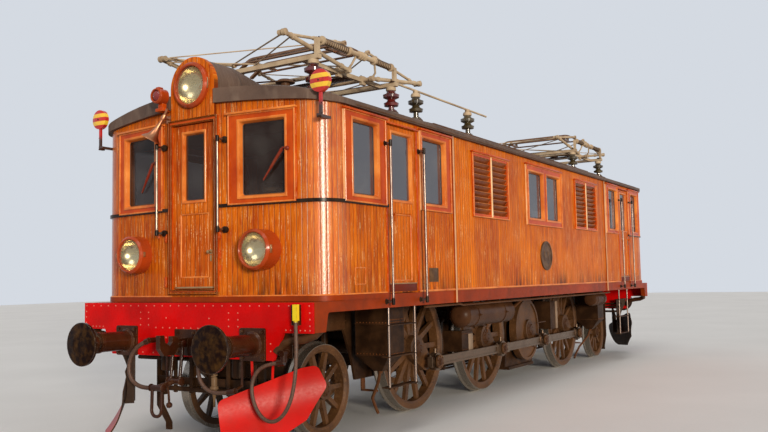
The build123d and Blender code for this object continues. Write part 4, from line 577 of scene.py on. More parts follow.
class Shape:
    """Collects closed shapes into one mesh."""

    def __init__(self):
        self.bm = bmesh.new()

    def ring(self, points):
        return [self.bm.verts.new(Vector(point)) for point in points]

    def put_box(self, place, half_sizes, bevel=0):
        """Box of half sizes in a place of its own."""
        grown = place @ Matrix.Diagonal((*(2 * size for size in half_sizes), 1.0))
        made = bmesh.ops.create_cube(self.bm, size=1.0, matrix=grown)
        if bevel:
            edges = {edge for vert in made["verts"] for edge in vert.link_edges}
            bmesh.ops.bevel(self.bm, geom=list(edges), offset=bevel, segments=2, profile=0.5, affect="EDGES")

    def box(self, low, high, bevel=0):
        low, high = Vector(low), Vector(high)
        self.put_box(Matrix.Translation((low + high) / 2), (high - low) / 2, bevel)

    def turned(self, start, axis, profile, sides=20, closed=False):
        """Solid of revolution from (distance along the axis, radius); a closed profile makes a ring."""
        axis = Vector(axis).normalized()
        u = axis.orthogonal().normalized()
        v = axis.cross(u)
        rings = []
        for along, radius in profile:
            centre = Vector(start) + axis * along
            rings.append(self.ring(circle(centre, u, v, radius, sides) if radius else [centre]))
        self.skin(rings, closed)

    def tapered(self, start, end, first, last):
        run = Vector(end) - Vector(start)
        self.turned(start, run, ((0, first), (run.length, last)), 10)

    def hexahedron(self, corners):
        """Block from the four corners of its low face and the four above them."""
        made = self.ring(corners)
        self.skin([made[:4], made[4:]])

    def moulding(self, place, half_w, half_h, profile, corner=0):
        """Frame with a profile of (inset, height), whose corners grow round towards the deepest inset."""
        deepest = max(inset for inset, height in profile)
        rings = []
        for inset, height in profile:
            outline = rounded(half_w - inset, half_h - inset, corner * inset / deepest if corner else None)
            rings.append(self.ring(place @ Vector((x, y, height)) for x, y in outline))
        self.skin(rings, closed=True)

    def also(self, x, y):
        """Add a copy of everything so far, scaled by -1 or 1 along X and Y."""
        made = bmesh.ops.duplicate(self.bm, geom=self.bm.verts[:] + self.bm.edges[:] + self.bm.faces[:])
        verts = [item for item in made["geom"] if isinstance(item, bmesh.types.BMVert)]
        bmesh.ops.scale(self.bm, vec=(x, y, 1.0), verts=verts)

    def four(self):
        """Copies of everything so far at both sides and both ends."""
        self.also(1, -1)
        self.also(-1, 1)

    def mirror(self, x, y):
        bmesh.ops.scale(self.bm, vec=(x, y, 1.0), verts=self.bm.verts[:])

    def shift(self, vector):
        bmesh.ops.translate(self.bm, vec=vector, verts=self.bm.verts[:])

    def skin(self, rings, closed=False):
        """Faces between rings of points, with a cap on each open end."""
        pairs = list(zip(rings, rings[1:]))
        if closed:
            pairs.append((rings[-1], rings[0]))
        for a, b in pairs:
            n = max(len(a), len(b))
            for i in range(n):
                j = (i + 1) % n
                corners = [a[i % len(a)], a[j % len(a)], b[j % len(b)], b[i % len(b)]]
                face = list(dict.fromkeys(corners))
                if len(face) > 2:
                    self.bm.faces.new(face)
        if not closed:
            for ring, order in ((rings[0], -1), (rings[-1], 1)):
                if len(ring) > 2:
                    self.bm.faces.new(ring[::order])

    def tube(self, points, radius, sides=8, closed=False):
        """Round bar along points, with the section carried along the path."""
        points = [Vector(p) for p in points]
        count = len(points)
        rings = []
        u = None
        for i, point in enumerate(points):
            before = points[i - 1] if i or closed else point
            after = points[(i + 1) % count] if i < count - 1 or closed else point
            along = (after - before).normalized()
            u = along.orthogonal().normalized() if u is None else (u - along * u.dot(along)).normalized()
            rings.append(self.ring(circle(point, u, along.cross(u), radius, sides)))
        self.skin(rings, closed)

    def plate(self, outline, place, thickness):
        """Flat plate: outline in the place's X and Y, thickness along its Z."""
        self.skin([self.ring(place @ Vector((x, y, z)) for x, y in outline) for z in (0, thickness)])

    def dome(self, centre, normal, radius):
        """Round rivet head."""
        shares = ((0.35, 0.85), (0.62, 0.45), (0.7, 0))
        profile = [(-2, radius), *((radius * high, radius * wide) for high, wide in shares)]
        self.turned(centre, normal, profile, 8)

    def nut(self, centre, normal, radius, height):
        bolt = height * 1.6
        profile = ((-1, radius), (height, radius), (height, radius * 0.45), (bolt, radius * 0.4), (bolt, 0))
        self.turned(centre, normal, profile, 6)

    def make(self, name, look, slot, body=ROOT, smooth=True):
        """Finish the mesh, in the frame's metres, as a piece that rides on a body."""
        bmesh.ops.transform(self.bm, matrix=TO_FRAME, verts=self.bm.verts[:])
        bmesh.ops.recalc_face_normals(self.bm, faces=self.bm.faces)
        mesh = bpy.data.meshes.new(name)
        self.bm.to_mesh(mesh)
        self.bm.free()
        mesh.materials.append(look)
        piece = bpy.data.objects.new(name, mesh)
        bpy.context.scene.collection.objects.link(piece)
        if smooth:
            mesh.shade_smooth()
            mesh.set_sharp_from_angle(angle=math.radians(35))
        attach(piece, body)


def circle(centre, u, v, radius, count, start=0.0):
    """Points round a centre, from a start in degrees."""
    turns = [math.radians(start) + 2 * math.pi * i / count for i in range(count)]
    return [Vector(centre) + (u * math.cos(turn) + v * math.sin(turn)) * radius for turn in turns]


def helix(start, end, radius, turns, steps=8):
    """Points of a coil from one point to another."""
    start, end = Vector(start), Vector(end)
    axis = (end - start).normalized()
    u = axis.orthogonal().normalized()
    v = axis.cross(u)
    count = turns * steps
    angles = [2 * math.pi * i / steps for i in range(count + 1)]
    return [start.lerp(end, i / count) + (u * math.cos(angle) + v * math.sin(angle)) * radius
            for i, angle in enumerate(angles)]


def rounded(half_w, half_h, radius, steps=5):
    """Outline of a rectangle, with round corners unless the radius is None."""
    if radius is None:
        return [(half_w, half_h), (-half_w, half_h), (-half_w, -half_h), (half_w, -half_h)]
    radius = max(radius, 0.5)
    outline = []
    for sx, sy, start in ((1, 1, 0), (-1, 1, 90), (-1, -1, 180), (1, -1, 270)):
        for i in range(steps + 1):
            turn = math.radians(start + 90 * i / steps)
            outline.append((sx * (half_w - radius) + radius * math.cos(turn),
                            sy * (half_h - radius) + radius * math.sin(turn)))
    return outline


def barrel(length, radius, rim, edge):
    """Profile of a collar whose rims fall to a smaller edge."""
    return (0, edge), (rim, radius), (length - rim, radius), (length, edge)


def drum(length, radius, rim, edge):
    """Profile of a closed barrel."""
    return (0, 0), *barrel(length, radius, rim, edge), (length, 0)


def cap(radius, flat, height, top):
    """Profile of a pin's head."""
    return (0, radius), (flat, radius), (height, top), (height, 0)


def lamp_rim(inner, outer):
    """Profile of a lamp's bezel."""
    return (-12, inner), (1, inner), (7, inner + 6), (7, outer - 6), (1, outer), (-6, outer - 2)


# Hoses and cable at the front, with the same routes as their solids, in metres: x, y and height above the rail
BRAKE_HOSE = ((5.985, -0.500, 1.056), (5.990, -0.592, 1.022), (5.996, -0.672, 0.950), (6.000, -0.722, 0.850),
              (6.002, -0.728, 0.740), (5.998, -0.680, 0.652), (5.992, -0.590, 0.604), (5.984, -0.480, 0.590),
              (5.978, -0.375, 0.594))
HEAT_HOSE = ((5.965, 0.222, 0.850), (5.982, 0.244, 0.765), (5.996, 0.292, 0.686), (6.004, 0.366, 0.628),
             (6.005, 0.460, 0.600), (6.000, 0.556, 0.596), (5.994, 0.646, 0.610))
CABLE = ((5.955, 1.438, 1.270), (5.962, 1.448, 1.110), (5.972, 1.452, 0.930), (5.984, 1.442, 0.745),
         (5.994, 1.402, 0.570), (6.002, 1.322, 0.436), (6.008, 1.206, 0.368), (6.006, 1.086, 0.392),
         (6.000, 0.990, 0.486), (5.994, 0.938, 0.612), (5.984, 0.940, 0.736), (5.970, 1.000, 0.836),
         (5.950, 1.096, 0.886), (5.928, 1.200, 0.900))


def cord(name, points, diameter, node, look=HOSE):
    """Hose on a smooth curve through its route."""
    curve = bpy.data.curves.new(name, "CURVE")
    curve.dimensions = "3D"
    spline = curve.splines.new("NURBS")
    spline.points.add(len(points) - 1)
    for point, (x, y, z) in zip(spline.points, points):
        point.co = (x, y, z + RAIL, 1.0)
    spline.order_u = 3
    spline.use_endpoint_u = True
    spline.resolution_u = 12
    curve.bevel_depth = diameter / 2
    curve.bevel_resolution = 5
    curve.use_fill_caps = True
    curve.materials.append(look)
    piece = bpy.data.objects.new(name, curve)
    bpy.context.scene.collection.objects.link(piece)
    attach(piece, ROOT)
    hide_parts(node)
    x, y, z = points[0]
    return piece


cord("brake_hose_tube", BRAKE_HOSE, 0.044, "brake_hose")
cord("heating_hose_tube", HEAT_HOSE, 0.040, "heating_hose")
cord("jumper_cable_tube", CABLE, 0.036, "jumper_cable")


# Rivets of the buffer beams

def beam_rivets():
    shape = Shape()
    top, low, foot = 1424, 1200, 942
    spots = [(-1545 + i * 3090 / 26, top) for i in range(27)]
    for side in (LEFT, RIGHT):
        spots += [(side * 1550, z) for z in (1360, 1300, 1240, low)]
        spots += [(side * (1270 + 56 * i), low) for i in range(5)]
        spots += [(side * y, z) for y in (560, 680) for z in (1355, 1290, 1225)]
        spots += [(side * (180 + 155 * i), foot) for i in range(6)]
        spots += [(side * 300, z) for z in (1300, 1000, 1100)]
        spots += [(side * 1085, z) for z in (1000, 1070)]
    spots += [(-450 + i * 100, low) for i in range(10)]
    for y, z in spots:
        shape.dome((BEAM_X, y, z), X, 8.5)
    shape.also(-1, 1)
    shape.make("beam_rivets", RIVET, "red_paint")


# Glass of the doors, which moves with them

def door_glass():
    for name in SIDE_DOORS:
        low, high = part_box(name)
        middle = (low.x + high.x) / 2 / MM
        half = (high.x - low.x) / 2 / MM - 93
        side = LEFT if "left" in name else RIGHT
        y0, y1 = sorted((side * (HALF_W - 30), side * (HALF_W - 24)))
        shape = Shape()
        shape.box((middle - half, y0, GLASS_Z0 + 1), (middle + half, y1, GLASS_Z1 - 31))
        shape.make("pane_" + name, PANE, "clear_glass", name, smooth=False)
    for name in END_DOORS:
        end = FRONT if "front" in name else REAR
        x0, x1 = sorted((end * (END_X - 28), end * (END_X - 22)))
        shape = Shape()
        shape.box((x0, -144.5, GLASS_Z0 + 1), (x1, 144.5, 3199))
        # The end doors' panes take the same painted-shade tint.
        shape.make("pane_" + name, SHADED_END_PANE, "clear_glass", name, smooth=False)


# Pieces on the body

def facing(origin, normal):
    """Place on an upright face: its X runs along the face, its Y upwards and its Z outwards."""
    normal = Vector(normal).normalized()
    place = Matrix((Z.cross(normal), Z, normal)).transposed().to_4x4()
    place.translation = origin
    return place


def on_side(x, z, proud=0):
    return facing((x, HALF_W + proud, z), Y)


def on_end(y, z, proud=0):
    """Place on the front wall at y, which is raked beyond its flat middle."""
    normal = Vector((1.0, END_RAKE * math.copysign(1.0, y), 0.0)) if abs(y) > END_FLAT else X.copy()
    normal.normalize()
    return facing(Vector((end_wall_x(y), y, z)) + normal * proud, normal)


BEAD = ((0, -1), (0, 6), (5, 11), (11, 11), (16, 6), (16, -1))
SASH_BEAD = ((0, -1), (0, 5), (4, 10), (18, 10), (26, 4), (30, -10), (40, -30), (42, -46.5), (27, -46.5),
             (27, -4))
GASKET = ((0, 0), (0, 4), (4, 7), (8, 4), (8, 0))
PROUD = 18
SASH = 27
SASH_IN = 13


def sash(beads, gaskets, put, along, half, z0, z1, corner):
    """Bead round a fixed pane, and the gasket inside it."""
    middle, tall = (z0 + z1) / 2, (z1 - z0) / 2
    beads.moulding(put(along, middle, PROUD), half + SASH, tall + SASH, SASH_BEAD, corner)
    gaskets.moulding(put(along, middle, -29.5), half - SASH_IN, tall - SASH_IN, GASKET, 18)


def window_edges():
    """Mouldings of the fixed windows and louvres, with their gaskets and drip boards."""
    beads, gaskets, drips, posts, ends, end_gaskets = (Shape() for _ in range(6))
    z0, z1 = FRAME_Z
    for x, half, x0, x1 in SIDE_WINDOWS:
        sash(beads, gaskets, on_side, x, half, GLASS_Z0, GLASS_Z1, 30)
        beads.moulding(on_side((x0 + x1) / 2, (z0 + z1) / 2, PROUD), (x1 - x0) / 2, (z1 - z0) / 2, BEAD)
        drips.box((x0 - 20, HALF_W, z1 - 4), (x1 + 20, HALF_W + 50, z1 + 18), 6)
    for shape in (beads, gaskets, drips):
        shape.also(-1, 1)
    for x in (360, -360):
        sash(beads, gaskets, on_side, x, 290, GLASS_Z0, 3190, 24)
    beads.moulding(on_side(0, 2845, PROUD), 730, 445, BEAD)
    drips.box((-750, HALF_W, 3286), (750, HALF_W + 48, 3308), 6)
    for x in (1955, -1955):
        beads.moulding(on_side(x, 2835, PROUD), 565, 415, BEAD)
        posts.put_box(on_side(x, 2835, PROUD + 4), (17, 400, 6), 4)
        drips.box((x - 585, HALF_W, 3246), (x + 585, HALF_W + 46, 3268), 6)
    for shape in (beads, gaskets, drips, posts):
        shape.also(1, -1)
    sash(ends, end_gaskets, on_end, END_WINDOW_Y, 265, GLASS_Z0, GLASS_Z1, 30)
    ends.moulding(on_end(855, 2877.5, PROUD), 395, 457.5, BEAD)
    ends.put_box(on_end(855, 3342, 22), (415, 11, 26), 6)
    for half, tall in ((348, 913), (316, 873)):
        ends.moulding(on_end(0, 2442.5, 25), half, tall, BEAD)
    ends.four()
    end_gaskets.four()
    # The louvre posts take the same pale timber.
    posts.make("louvre_posts", PALE_GLARE_WOOD, "red_wood")
    beads.make("window_beads", BEAD_WOOD, "red_wood")
    drips.make("drip_boards", RAIL_WOOD, "red_wood")
    ends.make("end_window_beads", BEAD_WOOD, "red_wood")
    gaskets.make("window_gaskets", RUBBER, "hose_rubber")
    end_gaskets.make("end_gaskets", RUBBER, "hose_rubber")


KNOB = ((-1, 26), (6, 26), (8, 12), (30, 10), (36, 17), (50, 17), (56, 6), (56, 0))


def door_details():
    """Beads, kick plates, locks and handles, which move with the doors."""
    middle = (DOOR_X0 + DOOR_X1) / 2
    glass = (GLASS_Z1 - 30 - GLASS_Z0) / 2
    for name in SIDE_DOORS:
        wood, fitting, kick = Shape(), Shape(), Shape()
        wood.moulding(on_side(middle, GLASS_Z0 + glass), 200 + SASH, glass + SASH, SASH_BEAD, 24)
        wood.moulding(on_side(middle, 1990, -12), 200, 362, BEAD)
        fitting.put_box(on_side(DOOR_X1 - 58, 2300, 2), (20, 85, 3), 2)
        fitting.put_box(on_side(middle, 1604, 2), (285, 6, 4), 2)
        kick.put_box(on_side(middle, 1558, 1), (285, 40, 3), 2)
        for shape in (wood, fitting, kick):
            shape.mirror(REAR if "rear" in name else FRONT, RIGHT if "right" in name else LEFT)
        wood.make("beads_" + name, BEAD_WOOD, "red_wood", name)
        fitting.make("fittings_" + name, LOCK, "lamp_brass", name)
        kick.make("kick_" + name, KICK, "red_wood", name)
    for name in END_DOORS:
        wood, fitting = Shape(), Shape()
        wood.moulding(on_end(0, 2850), 145 + SASH, 350 + SASH, SASH_BEAD, 20)
        wood.moulding(on_end(0, 2036.5, -12), 202, 333.5, BEAD)
        fitting.turned((END_X, 235, 1964), X, KNOB, 16)
        fitting.put_box(on_end(235, 1900, 1), (12, 30, 4), 2)
        fitting.put_box(on_end(0, 1606, 2), (275, 9, 5), 2)
        end = REAR if "rear" in name else FRONT
        for shape in (wood, fitting):
            shape.mirror(end, end)
        wood.make("beads_" + name, BEAD_WOOD, "red_wood", name)
        fitting.make("fittings_" + name, LOCK, "lamp_brass", name)


def door_posts():
    """Boards beside the side doors, header boards over them and the bright strips over the side joints."""
    shape, strip, hatch = Shape(), Shape(), Shape()
    for x0, x1 in ((DOOR_X0 - 45, DOOR_X0 - 6), (DOOR_X1 + 6, DOOR_X1 + 40)):
        shape.box((x0, HALF_W - 1, FLOOR_Z + 12), (x1, HALF_W + 12, EAVE_Z - 4), 4)
    shape.box((DOOR_X0 - 60, HALF_W - 1, 3305), (DOOR_X1 + 50, HALF_W + 30, 3325), 5)
    strip.tube(((3040, HALF_W + 12, 1357), (3040, HALF_W + 12, EAVE_Z - 2)), 13, 10)
    hatch.moulding(on_side(5100, 1690), 95, 85, ((0, -1), (0, 4), (4, 6), (8, 4), (8, -1)))
    for piece in (shape, strip, hatch):
        piece.four()
    shape.make("door_posts", RAIL_WOOD, "red_wood")
    strip.make("joint_beads", PALE_BEAD, "rail_steel")
    hatch.make("hatch_beads", BEAD_WOOD, "varnished_wood")


def skirt():
    """Round bead along the foot of the boards, from the side door round the corner to the end door."""
    shape = Shape()
    z = FLOOR_Z + 12
    turns = [math.radians(83 * i / 12) for i in range(13)]
    corner = [(CORNER_X + CORNER_R * math.sin(a), CORNER_Y + CORNER_R * math.cos(a), z) for a in turns]
    end = [(end_wall_x(y), y, z) for y in (1200, 800, 320)]
    shape.tube([(DOOR_X1 + 45, HALF_W, z), *corner, *end], 13)
    shape.tube(((3050, HALF_W, z), (DOOR_X0 - 50, HALF_W, z)), 13)
    shape.also(-1, 1)
    shape.tube(((-3030, HALF_W, z), (3030, HALF_W, z)), 13)
    shape.also(1, -1)
    shape.make("skirt_beads", BEAD_WOOD, "varnished_wood")


def plates():
    """Bare oval plate in the middle of each side and bare small plates by the doors."""
    shape = Shape()
    place = on_side(0, 1955)
    half_w, half_h = 235, 222
    turns = [2 * math.pi * i / 48 for i in range(48)]
    oval = [(half_w * math.cos(turn), half_h * math.sin(turn)) for turn in turns]
    shape.plate(oval, place, 10)
    rings = []
    for grow, height in ((0, 9), (0, 17), (-16, 20), (-32, 17), (-32, 9)):
        rings.append(shape.ring(place @ Vector((x * (1 + grow / half_w), y * (1 + grow / half_h), height))
                                for x, y in oval))
    shape.skin(rings, closed=True)
    shape.moulding(place, 85, 75, ((0, 8), (4, 16), (14, 16), (18, 8)), 16)
    for x in (-165, 165):
        shape.dome(place @ Vector((x, 0, 10)), Y, 9)
    shape.put_box(on_side(3585, 1690, 4), (105, 80, 5), 3)
    shape.moulding(on_side(3585, 1690, 9), 100, 75, ((0, -1), (0, 3), (8, 3), (8, -1)))
    shape.also(1, -1)
    shape.make("bare_plates", PLATE, "black_iron")


def rail_feet():
    """Rosettes, balls and brackets of the grab rails."""
    shape = Shape()
    foot = ((-1, 30), (5, 30), (9, 20), (30, 17), (36, 0))
    for x, proud in ((DOOR_X0 - 60, 12), (DOOR_X1 + 60, PROUD)):
        shape.turned((x, HALF_W + proud - 2, 3080), Y, foot, 14)
        shape.turned((x, HALF_W, 1420), Y, foot, 14)
        for z in (3080, 1420):
            shape.turned((x, HALF_W + 85, z - 35), Z, barrel(70, 19, 6, 14), 14)
    for z in (3090, 2180):
        shape.turned((end_wall_x(430), 430, z), X, ((0, 34), (30, 34), (36, 20), (60, 17), (64, 0)), 14)
        shape.turned((END_X + 110, 430, z - 30), Z, barrel(60, 20, 6, 13), 14)
    shape.four()
    shape.make("rail_feet", BLACK, "black_iron")


def end_brackets():
    """Small cleats beside the end door and the lamp irons."""
    shape = Shape()
    for y, z, tall in ((-413, 2127, 48), (-413, 1666, 56), (-535, 2151, 20), (351, 2134, 45), (351, 1934, 45),
                       (351, 1798, 30)):
        shape.put_box(on_end(y, z, 8), (17, tall, 10), 4)
        for dz in (tall * 0.6, -tall * 0.6):
            shape.dome(on_end(y, z + dz, 17).translation, X, 7)
    shape.also(-1, -1)
    shape.make("end_cleats", RAIL_WOOD, "red_wood")


def wipers():
    """Wiper of each end window, parked aslant on the glass, with the spindle in the frame's outer edge."""
    shape, blade = Shape(), Shape()
    for y in (END_WINDOW_Y, -END_WINDOW_Y):
        place = on_end(y, 2800)
        root, elbow, tip = (place @ Vector(p) for p in ((300, 140, 30), (245, 150, 20), (0, -150, -8)))
        foot = place @ Vector((300, 140, 12))
        run = tip - elbow
        shape.tube((root, elbow, elbow.lerp(tip, 0.12)), 9, 10)
        shape.turned(foot, place.to_3x3() @ Z, ((0, 22), (20, 22), (30, 12), (34, 0)), 12)
        shape.tapered(elbow + run * 0.04, elbow + run * 0.62, 17, 14)
        shape.tapered(elbow + run * 0.58, tip, 11, 7)
        blade.tapered(elbow + run * 0.45 - X * 10, tip - X * 10 + run * 0.02, 6, 5)
    shape.also(-1, -1)
    blade.also(-1, -1)
    shape.make("wiper_arms", RAIL_PAINT, "red_paint")
    blade.make("wiper_blades", RUBBER, "hose_rubber")


def horns():
    """Air horn at the right of the top lamp: a pipe bracket, the throat and the bell that opens downwards."""
    shape = Shape()
    throat, mouth = Vector((5895, -352, 3372)), Vector((5950, -463, 3165))
    axis = mouth - throat
    long = axis.length
    bracket = ((0, 14), (60, 14), (62, 18), (80, 18), (80, 0))
    outside = ((-55, 0), (-55, 20), (-30, 26), (-5, 26), (0, 15), (50, 17), (long * 0.55, 33),
               (long * 0.8, 58), (long * 0.93, 90), (long, 106), (long + 4, 108))
    inside = ((long + 2, 100), (long * 0.92, 80), (long * 0.78, 50), (long * 0.6, 26), (long * 0.55, 0))
    shape.turned(throat, axis, outside + inside, 28)
    shape.turned(throat - axis.normalized() * 45, (0, 0.55, 0.83), bracket, 12)
    shape.tube((throat, (5860, -350, 3385), (5800, -350, 3385)), 12)
    shape.box((5793, -385, 3345), (5806, -315, 3425), 3)
    shape.also(-1, -1)
    shape.make("air_horns", HORN, "lamp_brass")


# Lamps and signals

def lamp_trims():
    """Bezels, hinges and locks of the lamps, the marker lamp's block and the wiring to them."""
    lock, bezels, block = Shape(), Shape(), Shape()
    x, y, z = HEADLAMP
    lock.put_box(facing((x - 40, y + 198, z), Y), (16, 40, 8), 4)
    lock.tube(((x - 28, y + 206, z + 34), (x - 20, y + 224, z), (x - 28, y + 206, z - 34)), 6)
    lock.put_box(facing((x - 40, y - 198, z), -Y), (14, 28, 8), 3)
    lock.also(1, -1)
    bezels.turned(HEADLAMP, X, lamp_rim(166, 188), 48, True)
    bezels.also(1, -1)
    bezels.turned(TOP_LAMP, X, lamp_rim(198, 222), 56, True)
    bezels.turned((5950, -395, 3625), X, ((-12, 61), (2, 61), (5, 66), (2, 76), (-6, 74)), 32, True)
    bezels.box((5865, -420, 3704), (5925, -370, 3720), 4)
    z = TOP_LAMP[2]
    lock.tube(((5840, 237, z + 50), (5850, 256, z + 20), (5850, 256, z - 30), (5840, 237, z - 60)), 6)
    block.box((5780, -455, 3465), (5900, -335, 3500), 6)
    block.box((5800, -430, 3498), (5885, -360, 3550), 6)
    block.tube(((5815, -395, 3545), (5815, -340, 3520), (5815, -322, 3520)), 9)
    for shape in (bezels, lock, block):
        shape.also(-1, -1)
    bezels.make("lamp_bezels", LAMP_PAINT, "lamp_brass")
    lock.make("lamp_locks", LOCK, "lamp_brass")
    block.make("marker_blocks", RAIL_WOOD, "red_wood")


def signal_irons():
    """Irons and screws that hold the two round signals."""
    shape = Shape()
    for side in (LEFT, RIGHT):
        shape.box((5664, side * 1556 - 20, 3190), (5726, side * 1556 + 20, 3212), 4)
        for z in (3230, 3330):
            shape.dome((5709, side * 1584, z), Y * side, 7)
        shape.turned((5738, side * 1570, SIGNAL_Z), X, ((-2, 10), (4, 9), (6, 0)), 10)
    shape.make("signal_irons", IRON, "black_iron")


# Roof

def roof_strips():
    """Battens and flashings on the roof, the gutter ledge at its edges, hatch lids and vents."""
    shape, lids, vents = Shape(), Shape(), Shape()
    for x, half in ((3045, 45), (1020, 22), (-1020, 22), (-3045, 45)):
        points = [-1620 + i * 108 for i in range(31)]
        for y0, y1 in zip(points, points[1:]):
            shape.hexahedron([(x + sx * half, y, roof_z(min(1632, abs(y))) + dz) for dz in (-4, 12)
                              for sx, y in ((-1, y0), (1, y0), (1, y1), (-1, y1))])
    for side in (LEFT, RIGHT):
        y = side * 1300
        shape.hexahedron([(x, y + dy, roof_z(1300) + dz) for dz in (-4, 16)
                          for x, dy in ((-3000, -22), (3000, -22), (3000, 22), (-3000, 22))])
        shape.box((-5200, side * 1634 - 10, 3386), (5200, side * 1634 + 7, 3402), 3)
    for x in (-1950, 0, 1950):
        for y in (-520, 520):
            slope = Matrix.Rotation(-math.asin(y / ROOF_RADIUS), 4, "X")
            place = Matrix.Translation((x, y, roof_z(y) - 12)) @ slope
            lids.put_box(place, (620, 400, 28), 10)
            for sx in (-450, 450):
                handle = ((sx - 60, 0, 20), (sx - 60, 0, 55), (sx + 60, 0, 55), (sx + 60, 0, 20))
                lids.tube([place @ Vector(point) for point in handle], 8)
    cowl = ((0, 75), (50, 70), (55, 50), (90, 50), (92, 105), (104, 108), (128, 70), (134, 0))
    for x in (5050, -5050):
        for y in (620, -620):
            vents.turned((x, y, roof_z(y) - 40), Z, cowl, 24)
    shape.make("roof_strips", ROOF_TRIM, "roof_paint")
    lids.make("roof_lids", ROOF, "roof_paint")
    vents.make("roof_vents", ROOF_TRIM, "roof_paint")


def post_caps():
    """Metal caps and feet of the insulators, with the nuts of their feet."""
    caps, feet = Shape(), Shape()
    spots = [(s * (PANTO_X + dx), y, 4020) for s in (1, -1) for dx in (-650, 940) for y in (-920, 920)]
    spots += [(x, 930, 4045) for x in (1240, 2753)]
    for x, y, top in spots:
        foot = roof_z(y) + 22
        caps.turned((x, y, top - 52), Z, ((0, 52), (4, 62), (30, 64), (50, 56), (52, 36), (52, 0)), 20)
        feet.turned((x, y, foot), Z, ((-2, 82), (10, 82), (14, 60), (40, 52), (44, 34), (44, 0)), 20)
        for spot in circle((x, y, foot + 10), X, Y, 70, 4, 45):
            feet.nut(spot, Z, 10, 8)
    caps.make("insulator_caps", CREAM, "collector_metal")
    feet.make("insulator_feet", DARK, "frame_paint")


def base_details():
    """Springs over the spring tubes, their collars, levers and stays, and the bars between the frames."""
    z = 4240
    cylinder = ((0, 0), (0, 45), (10, 56), (250, 56), (262, 45), (262, 16), (340, 16), (340, 0))
    for end, s in ENDS:
        coils, cream, dark = Shape(), Shape(), Shape()
        c = s * PANTO_X
        for side in (LEFT, RIGHT):
            y = side * 972
            for x0, x1, turns in ((360, 830, 12), (-540, -200, 9)):
                coils.tube(helix((c + s * x0, y, z), (c + s * x1, y, z), 37, turns), 6, 6)
            for x in (340, 850, -560, -180, 80):
                cream.turned((c + s * x - 14, y, z), X, barrel(28, 50, 3, 34), 20)
            for i in range(6):
                cream.turned((c + s * (10 + i * 24), y, z), X, barrel(14, 47, 4, 30), 18)
            for x in (c + s * 250, c - s * 250):
                top = c + (x - c) * 0.8
                # A hair off 45 degrees, so that the two sides' bars are mirror images
                cream.tube(((x, side * 900, 4062), (x, side * 948 + 0.001, 4110), (top, y, 4205)), 13)
            for x in (c + s * 905, c - s * 615):
                dark.nut((x, y, z + 14), Z, 16, 14)
                dark.box((x - 34, y - 22, 4066), (x + 34, y + 22, 4080), 3)
            for x in (c + s * 940, c - s * 650):
                dark.nut((x, side * 920, 4070), Z, 20, 16)
            for x in (-282, -218, 218, 282):
                dark.nut((c + x, side * 765, 4094), Z, 9, 8)
        dark.tube(((c - s * 640, -700, 4075), (c - s * 640, 700, 4075)), 12)
        for way in (s, -s):
            dark.tube(((c + way * 600, -760, 4045), (c + way * 50, 740, 4045)), 10)
        dark.box((c - 100, -765, 4022), (c + 100, 765, 4034), 3)
        dark.turned((c - s * 140, 300, 4085), X * s, cylinder, 20)
        coils.make(f"main_springs_{end}", SPRING, "rail_steel")
        cream.make(f"spring_collars_{end}", CREAM, "collector_metal")
        dark.make(f"base_irons_{end}", IRON, "black_iron")


def frame_details():
    """Stays, eye caps and braces on the moving frames of the pantographs."""
    arm, lean = 1165, math.radians(8)
    pivot = Vector((250, 0, 4050))
    knee = pivot + Vector((arm * math.cos(lean), 0, arm * math.sin(lean)))
    head = pivot + Z * 2 * arm * math.sin(lean)
    up = Vector((-math.sin(lean), 0, math.cos(lean)))
    for end, s in ENDS:
        for way, w in ENDS:
            lower, upper = Shape(), Shape()
            for side in (LEFT, RIGHT):
                out = Y * side
                for share in (0.12, 0.5, 0.88):
                    start = pivot.lerp(knee, share) + out * 900 - (knee - pivot) * 0.015
                    lower.turned(start, knee - pivot, barrel(36, 32, 4, 24), 16)
                lower.turned(knee + out * 900 - Y * 28, Y, drum(56, 30, 4, 22), 18)
                lower.turned(pivot + out * 900 - Y * 26, Y, ((0, 0), (0, 36), (52, 36), (52, 0)), 18)
                for share in (0.15, 0.5, 0.85):
                    start = knee.lerp(head, share) + out * 845 - (head - knee) * 0.012
                    upper.turned(start, head - knee, barrel(28, 24, 3, 17), 14)
                lower.tube((pivot.lerp(knee, 0.10) - out * 885 - up * side * 6,
                            pivot.lerp(knee, 0.90) + out * 885 - up * side * 6), 8)
            upper.tube((knee.lerp(head, 0.06) + Vector((0, -835, 14)),
                        knee.lerp(head, 0.94) + Vector((0, 835, 14))), 7)
            for part, shape in (("lower", lower), ("upper", upper)):
                shape.mirror(w, w)
                shape.shift((s * PANTO_X, 0, 0))
                body = f"pantograph_{end}_{part}_{way}"
                shape.make(f"{part}_stays_{end}_{way}", CREAM, "collector_metal", body)
        strips, springs = Shape(), Shape()
        for x in (-140, 140):
            for y in (-560, 560):
                springs.tube(helix((x, y, head.z + 14), (x, y, head.z + 58), 24, 4), 4, 6)
            for i in range(9):
                strips.dome((x, -600 + i * 150, head.z + 88), Z, 6)
        for y in (-560, 560):
            strips.box((-205, y - 20, head.z - 16), (205, y + 20, head.z + 16), 4)
        for shape in (strips, springs):
            shape.shift((s * PANTO_X, 0, 0))
        strips.make(f"head_rivets_{end}", BROWN, "rod_steel", f"pantograph_{end}_head")
        springs.make(f"head_springs_{end}", SPRING, "rail_steel", f"pantograph_{end}_head")


# Ends

